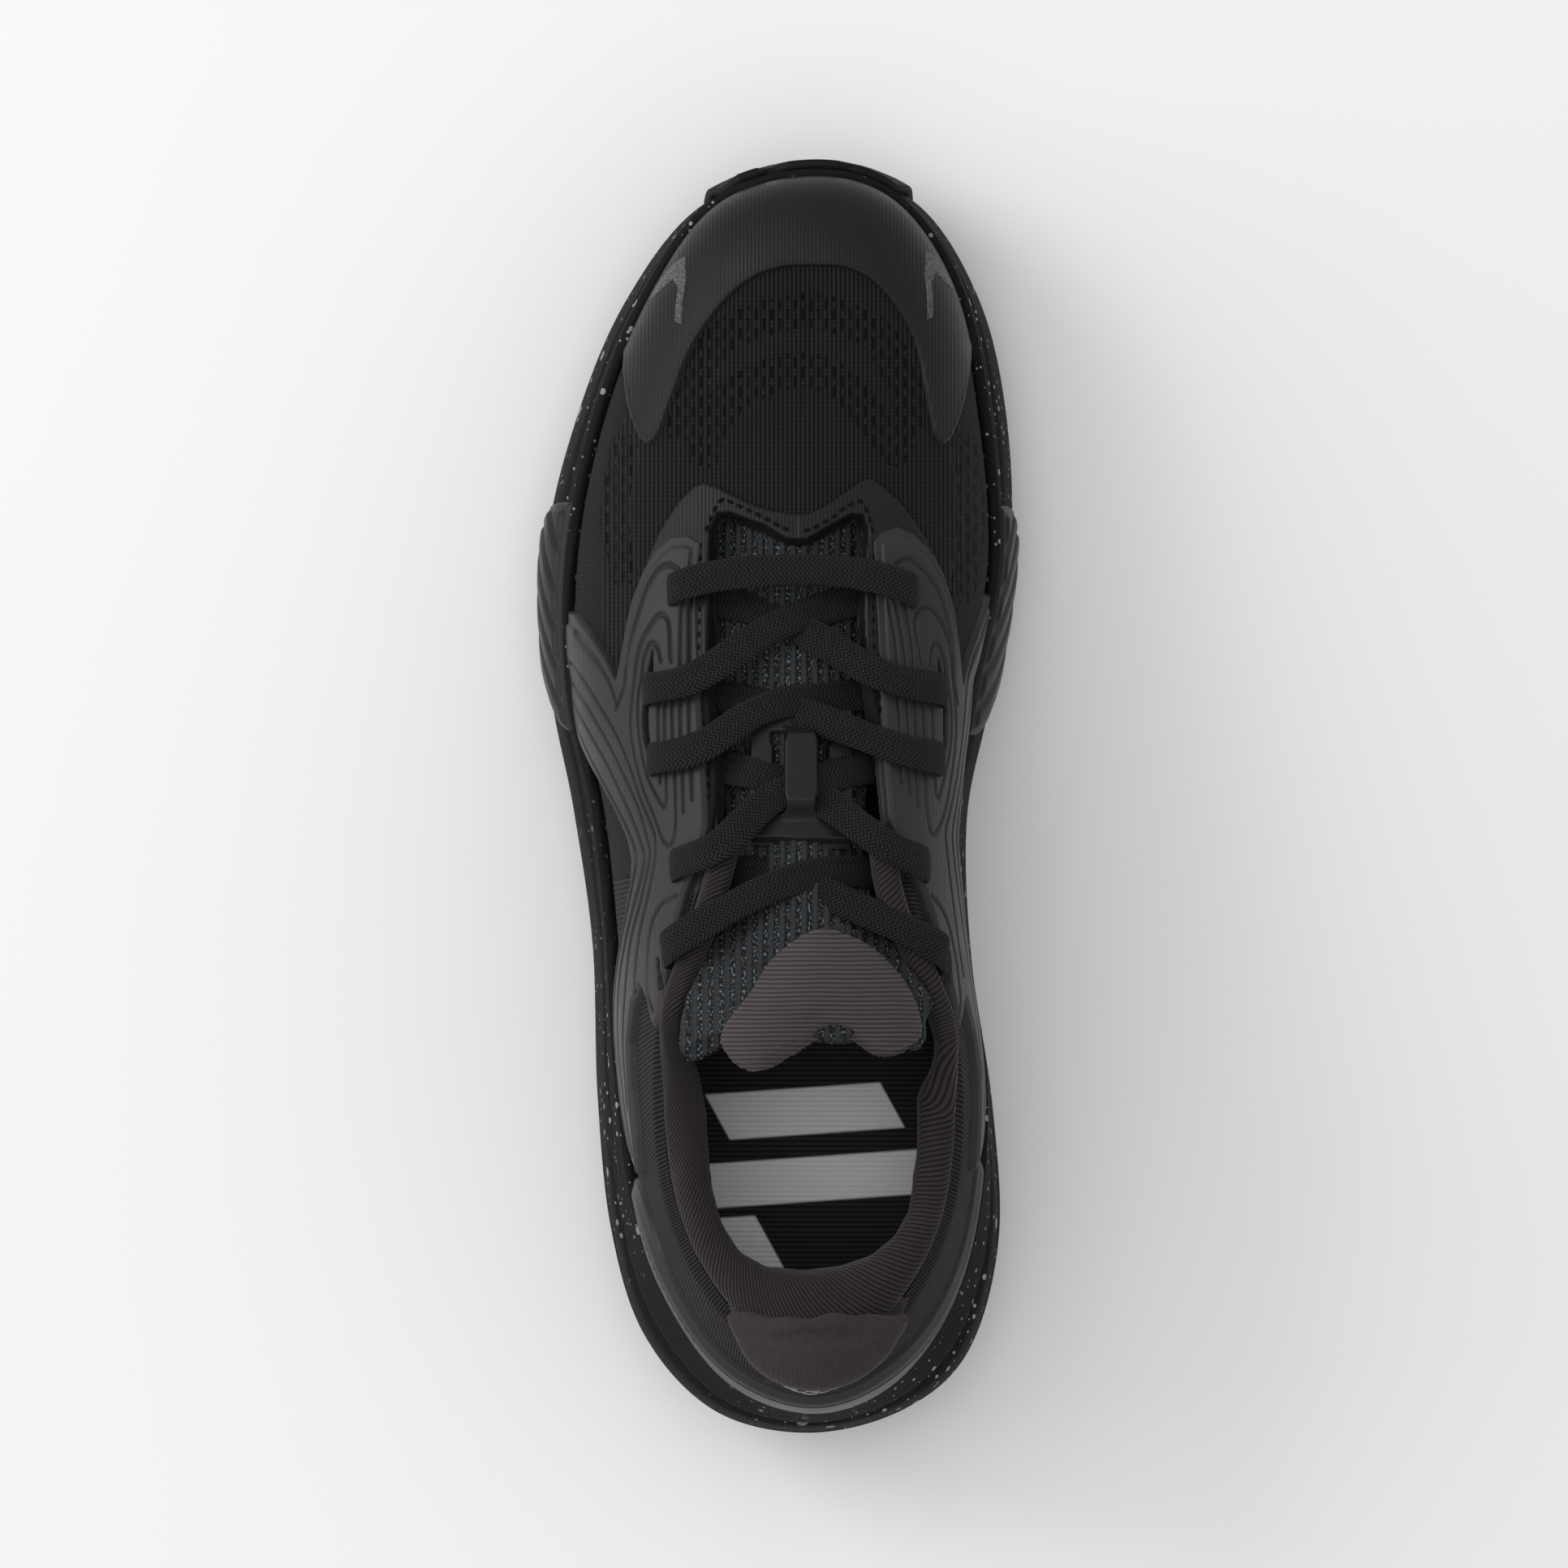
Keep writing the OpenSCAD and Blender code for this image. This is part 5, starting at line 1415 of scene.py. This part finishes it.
def tongue_patch():
    """Padded knitted patch over the free end of the tongue."""
    u = spaced(0.27, 0.40, GRAIN * 0.8, SPAN_A)
    v = np.linspace(-1.0, 0.85, int(62 / GRAIN))
    U, V = grid(u, v)
    flat = pad_point(U, V, 0.0)
    outline = curve(PATCH_SHAPE, closed=True)
    d = inside(flat[..., :2], outline / [SPAN_A, SPAN_T])
    swell = 2.2 * crowned(d / 9)
    top = pad_point(U, V, mix(-0.4, 1.9 + swell, ramp((d + 0.2) / 1.0)))
    low = pad_point(U, V, mix(-0.8, -1.4, ramp(d / 3)))
    return tidy(shell("tongue_tab", top, low, cells(d > -0.7), turned=True))


KEEPER_LOW = (-6.9, -9.3)
KEEPER_HIGH = (17.3, 21.6)
KEEPER_SLOTS = (-0.1, 9.9)
KEEPER_BASE = -3.4


def keeper():
    """Smooth plate on the tongue with two slots and a raised bar between them."""
    u = spaced(0.455, 0.573, GRAIN * 0.6, SPAN_A)
    x = np.linspace(-12.5, 15.5, int(30 / (GRAIN * 0.6)))
    U, X = grid(u, x)
    flat = near_crown(U, X, KEEPER_BASE)
    px, py = flat[..., 0], flat[..., 1]
    box = [(KEEPER_LOW[0] - 0.4, KEEPER_LOW[1]), (KEEPER_HIGH[0] - 0.2, KEEPER_LOW[1] - 0.6),
           (KEEPER_HIGH[0], KEEPER_HIGH[1]), (KEEPER_LOW[0], KEEPER_HIGH[1])]
    d = inside(flat[..., :2], np.array(box) / [SPAN_A, SPAN_T])
    height = mix(-1.2, 1.5, ramp((d + 0.2) / 0.8))
    along_bar = ramp((py + 5.5) / 4) * ramp((17.5 - py) / 4)
    bar = ramp((4.7 - np.abs(px - 4.9)) / 1.6)
    height = height + 4.6 * along_bar * bar
    for centre in KEEPER_SLOTS:
        width = 1.15 + 0.5 * ramp((py - 12.5) / 1.0) + 0.5 * ramp((-0.2 - py) / 1.0)
        slot = np.maximum(np.abs(px - centre) - width, np.maximum(-3.2 - py, py - 15.8))
        height = mix(-1.5, height, ramp((slot + 0.2) / 0.6))
    top = near_crown(U, X, height + KEEPER_BASE)
    low = near_crown(U, X, np.minimum(height, 0.4) - 1.2 + KEEPER_BASE)
    obj = shell("lace_keeper_plate", top, low, cells(d > -0.6), turned=True)
    place(tidy(obj), KEEPER, nodes=["lace_keeper"])


# --- lace ---------------------------------------------------------------------------------------

LACE_ROUTE = [
    # tail, medial end
    [10, 8.5, 74.5], [9.5, -6.5, 79], [10, -22.5, 83.5], [11, -33, 85.5], [19, -37, 88.5], [25, -38, 91],
    # row 5 eyelet, medial end
    [29.5, -38, 86.5], [32.5, -38, 84.5], [39, -37.5, 89], [39, -36.5, 92],
    # row 5, medial end
    [38.5, -34.5, 95.5], [32, -31.5, 100.5], [1.5, -17, 98], [-7, -16.5, 92.5], [-11.5, -17, 89],
    # row 4 eyelet, medial end
    [-18.5, -17, 84], [-21, -16.5, 83.5], [-26.5, -15.5, 89], [-25.5, -15, 92],
    # row 4, medial end
    [-18.5, -12.5, 99], [-11.5, -10.5, 100.5], [-5.5, 0, 92.5], [5, 4.5, 91.5], [11.5, 5.5, 90],
    [15.5, 7, 88], [20, 8, 83], [25, 8.5, 77],
    # row 3 eyelet, medial end
    [30.5, 8.5, 72], [33, 9, 71], [39, 9.5, 75], [39, 10, 77.5],
    # row 3, medial end
    [34, 11, 84], [27, 12, 88.5], [12.5, 18.5, 86.5], [-2, 23.5, 82.5], [-12.5, 24.5, 77.5],
    # row 2 eyelet, medial end
    [-25.5, 25, 70], [-28, 25.5, 69.5], [-33, 26.5, 75.5], [-31.5, 26.5, 78],
    # row 2, medial end
    [-25.5, 27.5, 82], [-19, 28.5, 84.5], [-8.5, 37, 81.5], [1.5, 43.5, 79], [16, 47.5, 71.5],
    # row 1 eyelet, medial end
    [27, 48, 67], [29.5, 48, 67], [33, 49.5, 73.5], [31.5, 49.5, 76],
    # row 1
    [26.5, 52.5, 79], [14, 55, 79], [-5, 55, 79], [-21, 52.5, 79],
    # row 1 eyelet, lateral end
    [-25, 50, 76.5], [-27, 50, 74], [-24, 48.5, 67.5], [-21, 48, 67.5],
    # row 2, lateral end
    [-12, 47.5, 71], [1.5, 43, 77], [12.5, 36.5, 81], [23.5, 28.5, 85], [32.5, 27.5, 80.5],
    # row 2 eyelet, lateral end
    [39.5, 26.5, 74], [40, 26, 71], [34, 25.5, 67], [32, 25.5, 67.5],
    # row 3, lateral end
    [17, 24.5, 78], [-2, 24.5, 84.5], [-9.5, 19, 86.5], [-17.5, 12, 89.5], [-25, 11, 86.5],
    # row 3 eyelet, lateral end
    [-30.5, 10, 81.5], [-32, 9.5, 78.5], [-26.5, 9, 73.5], [-24, 9, 74.5],
    # row 4, lateral end
    [-11, 8, 83.5], [-6.5, 6.5, 89], [-3, 5.5, 89.5], [4.5, 3.5, 89.5], [9.5, 2, 91], [23, -10.5, 99],
    [30, -12.5, 96.5],
    # row 4 eyelet, lateral end
    [35, -15, 89.5], [36, -15.5, 87], [29.5, -17, 82], [27.5, -17, 83],
    # row 5, lateral end
    [21.5, -17, 88], [18, -16.5, 91.5], [1.5, -16, 100], [-20, -30.5, 103], [-26.5, -33.5, 98.5],
    # row 5 eyelet, lateral end
    [-27, -35.5, 95.5], [-28, -36, 92.5], [-21.5, -36.5, 87.5], [-19, -36.5, 89],
    # tail, lateral end
    [-13.5, -36.5, 92.5], [-8, -36, 89.5], [-2, -32.5, 85.5], [-2, -22, 83.5], [-2, -6.5, 79], [-3, 9, 74.5],
]
TIPS = [[[10, 11, 73.5], [10.5, 36.5, 66]], [[-3, 11, 73.5], [-3.5, 36.5, 66]]]
INSTEP_SLOPE = 0.36
# How far the lace is lifted or pressed where it crosses itself, by point of the route, in mm
LACE_LIFTS = {43: 0.9, 58: -0.7, 67: 0.9, 34: -0.7, 88: 0.9, 12: -0.7, 22: 0.3, 78: -0.5}


def ribbon(route, width, thickness, sides=22, count=5, soften=24, lifts=None):
    """Rings of a flat lace along a route in mm, its width on the slope of the instep."""
    path = curve(route, count=count)
    for _ in range(soften):
        path[1:-1] = (path[:-2] + 2 * path[1:-1] + path[2:]) / 4
    walk = np.concatenate([[0], np.cumsum(np.linalg.norm(np.diff(path, axis=0), axis=1))])
    for index, lift in (lifts or {}).items():
        path[:, 2] += lift * np.exp(-(((walk - walk[index * count]) / 6.5) ** 2))
    way = unit(np.gradient(path, axis=0))
    turn = np.where(way[:, 0] < 0, -1.0, 1.0)
    c = np.abs(way[:, 0]) + np.abs(way[:, 2])
    flank = unit(np.stack([-way[:, 1] * turn, c, -INSTEP_SLOPE * c], -1))
    for _ in range(6):
        flank = unit(flank + np.roll(flank, 1, 0) * 0.5 + np.roll(flank, -1, 0) * 0.5)
    level = unit(flank - way * (flank * way).sum(-1, keepdims=True))
    up = np.cross(way, level)
    angle = np.arange(sides) * 2 * math.pi / sides
    flat = np.sign(np.cos(angle)) * np.abs(np.cos(angle)) ** 0.55
    high = np.sign(np.sin(angle)) * np.abs(np.sin(angle)) ** 0.75 * (1 - 0.25 * flat**4)
    travel = np.concatenate([[0], np.cumsum(np.linalg.norm(np.diff(path, axis=0), axis=1))])
    wobble = 1 + 0.03 * np.sin(travel / 5.3) + 0.02 * np.sin(travel / 2.1)
    rings = (path[:, None] + level[:, None] * (flat * width / 2)[None, :, None] * wobble[:, None, None]
             + up[:, None] * (high * thickness / 2)[None, :, None])
    uvs = np.stack([np.broadcast_to(travel[:, None], rings.shape[:2]),
                    np.broadcast_to(flat[None] * width / 2, rings.shape[:2])], -1)
    return rings, uvs


def laces():
    """Flat lace and the sleeves on its ends."""
    rings, uvs = ribbon(LACE_ROUTE, LACE_WIDTH, LACE_PLY, lifts=LACE_LIFTS)
    obj = loft("flat_lace", rings, uvs=uvs)
    place(obj, LACE, nodes=["lace"])
    sleeves = []
    for tip in TIPS:
        rings, uvs = ribbon(np.linspace(tip[0], tip[1], 8), 3.4, 2.2, sides=16, count=2)
        sleeves.append(loft("sleeve", rings, uvs=uvs))
    place(join("lace_sleeves", sleeves), TIP, nodes=["lace_tips"])


# --- inside -------------------------------------------------------------------------------------


def bed_layer(name, gap, low, high, look, node, edge=1.0):
    count = int(600 / GRAIN / 1.5)
    a = np.arange(count) * 2 / count
    rows = []
    for f, z in ((0, high), (0.6, high), (0.93, high), (0.985, high - 0.15 * edge), (1, high - 0.5 * edge),
                 (1, low), (0, low)):
        rim = bed_edge(a) - out_of(a) * gap
        line = middle(a, bed_z(a))
        rows.append(mix(line, rim, f) + [0, 0, z])
    obj = tidy(loft(name, np.array(rows), caps=False), 0.02)
    place(obj, look, body="insole", nodes=[node])


def insole():
    bed_layer("sock_foam", 5.2, 0.0, 4.0, INSOLE_FOAM, "insole_foam", 0.2)
    bed_layer("sock_cloth", 5.1, 3.9, 4.7, INSOLE, "insole_cloth", 1.0)


# --- padded cloth -------------------------------------------------------------------------------


CLOTH_SETTINGS = {
    "vertex_group_mass": "pinned", "use_pressure": True, "mass": 0.0003, "tension_stiffness": 1,
    "compression_stiffness": 1, "shear_stiffness": 1, "bending_stiffness": 0.001,
}
# A point is pinned where its normal has less than this share of the outward direction
PIN_BELOW = 0.15
BLUR = 0.4 * MM


def puff(obj, outward, voxel=3.0, pressure=1500.0, limit=1.2, frames=20):
    """Inflates a padded cover with cloth on a coarse copy of it, whose hidden side is pinned.

    The movement is capped in mm and carried over to the fine cover.
    """
    scene = bpy.context.scene
    coarse = linked("coarse", obj.data.copy())
    remesh = coarse.modifiers.new("remesh", "REMESH")
    remesh.mode = "VOXEL"
    remesh.voxel_size = voxel * MM
    depsgraph = bpy.context.evaluated_depsgraph_get()
    mesh = bpy.data.meshes.new_from_object(coarse.evaluated_get(depsgraph))
    coarse.modifiers.clear()
    coarse.data = mesh
    rest = np.zeros(len(mesh.vertices) * 3, np.float32)
    mesh.vertices.foreach_get("co", rest)
    facing = np.array([v.normal.dot(outward) for v in mesh.vertices])
    group = coarse.vertex_groups.new(name="pinned")
    group.add([int(i) for i in np.nonzero(facing < PIN_BELOW)[0]], 1.0, "REPLACE")
    cloth = coarse.modifiers.new("cloth", "CLOTH")
    for key, value in CLOTH_SETTINGS.items():
        setattr(cloth.settings, key, value)
    cloth.settings.uniform_pressure_force = pressure
    cloth.settings.effector_weights.gravity = 0
    cloth.point_cache.frame_start = 1
    cloth.point_cache.frame_end = frames
    for number in range(1, frames + 1):
        scene.frame_set(number)
    moved = np.zeros_like(rest)
    depsgraph = bpy.context.evaluated_depsgraph_get()
    coarse.evaluated_get(depsgraph).data.vertices.foreach_get("co", moved)
    scene.frame_set(1)
    step = (moved - rest).reshape(-1, 3)
    step[~np.isfinite(step).all(1)] = 0
    size = np.maximum(np.linalg.norm(step, axis=1, keepdims=True), 1e-9)
    step *= limit * MM * np.tanh(size / (limit * MM)) / size
    tree = KDTree(len(mesh.vertices))
    for vertex in mesh.vertices:
        tree.insert(vertex.co, vertex.index)
    tree.balance()
    for vertex in obj.data.vertices:
        near = tree.find_n(vertex.co, 4)
        weight = np.array([1 / (gap + BLUR) ** 2 for _, _, gap in near])
        shift = (step[[index for _, index, _ in near]] * weight[:, None]).sum(0) / weight.sum()
        vertex.co += Vector(shift)
    bpy.data.objects.remove(coarse)
    obj.data.update()


def soft_parts():
    """Padded pieces: cloth puffs up the collar roll, the heel tab and the tongue patch; the roll and tab
    ride the shoe, the tongue and its patch ride no body.
    """
    roll = collar()
    tab = heel_tab()
    pad = tongue()
    patch = tongue_patch()
    puff(roll, Vector((0, 0, 1)))
    puff(tab, Vector((0, -0.5, 0.85)))
    puff(patch, Vector((0, 0.3, 0.95)), limit=0.9)
    place(roll, COLLAR, nodes=["collar_foam", "collar_lining"])
    place(tab, TAB, nodes=["heel_patch"])
    place(pad, TONGUE, body=None,
          nodes=["tongue_cover", "tongue_foam", "tongue_top_cover", "tongue_top_foam"])
    place(patch, PATCH, body=None, nodes=["tongue_top_patch"])
    start = across(np.array(FLEX + 0.025), np.array(0.0), np.array(0.0)) * MM
    end = across(np.array(FLEX - 0.02), np.array(0.0), np.array(0.0)) * MM
    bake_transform(pad)
    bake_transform(patch)


# --- scene --------------------------------------------------------------------------------------

CARRIED = {
    "vamp_lining": LINING, "toe_puff": BOARD, "heel_counter": LINING, "strobel_board": BOARD,
    "outsole_forefoot_lateral": RUBBER, "outsole_forefoot_medial": RUBBER,
    "outsole_heel_lateral": RUBBER, "outsole_heel_medial": RUBBER,
}


def carried_over():
    for node, look in CARRIED.items():
        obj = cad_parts[node]
        obj.data.materials.clear()
        obj.data.materials.append(look)


# Area lights: name, place in metres, side in metres, watts
LIGHTS = [('key', (-1.7, 0.9, 1.4), 1.0, 16), ('side', (-2.0, 0.1, 0.6), 1.0, 8),
    ('top', (-0.3, 0.2, 2.2), 2.0, 11)]
FLOOR_SIZE = 14
WORLD_LIGHT = 0.66


def stage():
    """Pale paper floor under soft light."""
    bpy.ops.mesh.primitive_plane_add(size=FLOOR_SIZE, location=(0, 0, 0))
    floor = bpy.context.object
    floor.name = "floor"
    look = Look("floor_paper", (0.86, 0.86, 0.855), 0.9)
    tone = look.noise(3, 2)
    look.colour(look.blend(tone, (0.86, 0.86, 0.857), (0.885, 0.885, 0.882)))
    floor.data.materials.append(look.material)
    world = bpy.data.worlds.new("studio")
    world.use_nodes = True
    world.node_tree.nodes["Background"].inputs[0].default_value = (1, 1, 1, 1)
    world.node_tree.nodes["Background"].inputs[1].default_value = WORLD_LIGHT
    bpy.context.scene.world = world
    bpy.context.scene.view_settings.view_transform = "Standard"
    for name, where, size, power in LIGHTS:
        data = bpy.data.lights.new(name, "AREA")
        data.size = size
        data.energy = power
        lamp = linked(name, data)
        lamp.location = where
        lamp.rotation_euler = (-Vector(where)).to_track_quat("-Z", "Y").to_euler()


FRAME_PER_SHOE = 1.245
HEIGHT_PER_SHOE = 30


def camera():
    """Straight down from far above, as the photograph is taken."""
    shoe_length = FOAM_HIGH.y - FOAM_LOW.y
    frame_width = shoe_length * FRAME_PER_SHOE
    distance = shoe_length * HEIGHT_PER_SHOE
    data = bpy.data.cameras.new("camera")
    data.sensor_width = 36
    data.lens = data.sensor_width * distance / frame_width
    data.clip_end = 30
    eye = linked("camera", data)
    eye.location = (0.001, 0.004, distance)
    bpy.context.scene.camera = eye


midsole()
curved_tread("toe_bumper", 1.0, 0.25, 1.0, "outsole_toe")
curved_tread("heel_tread", 0.0, 0.143, 0.03, "outsole_heel_edge")
saddle(1)
saddle(-1)
vamp()
quarter(1)
quarter(-1)
toe_cap()
reflectors()
throat_film()
for hand in (1, -1):
    eyestay(hand)
    tape(hand)
clip()
seams()
soft_parts()
label()
keeper()
laces()
insole()
carried_over()
stage()
camera()
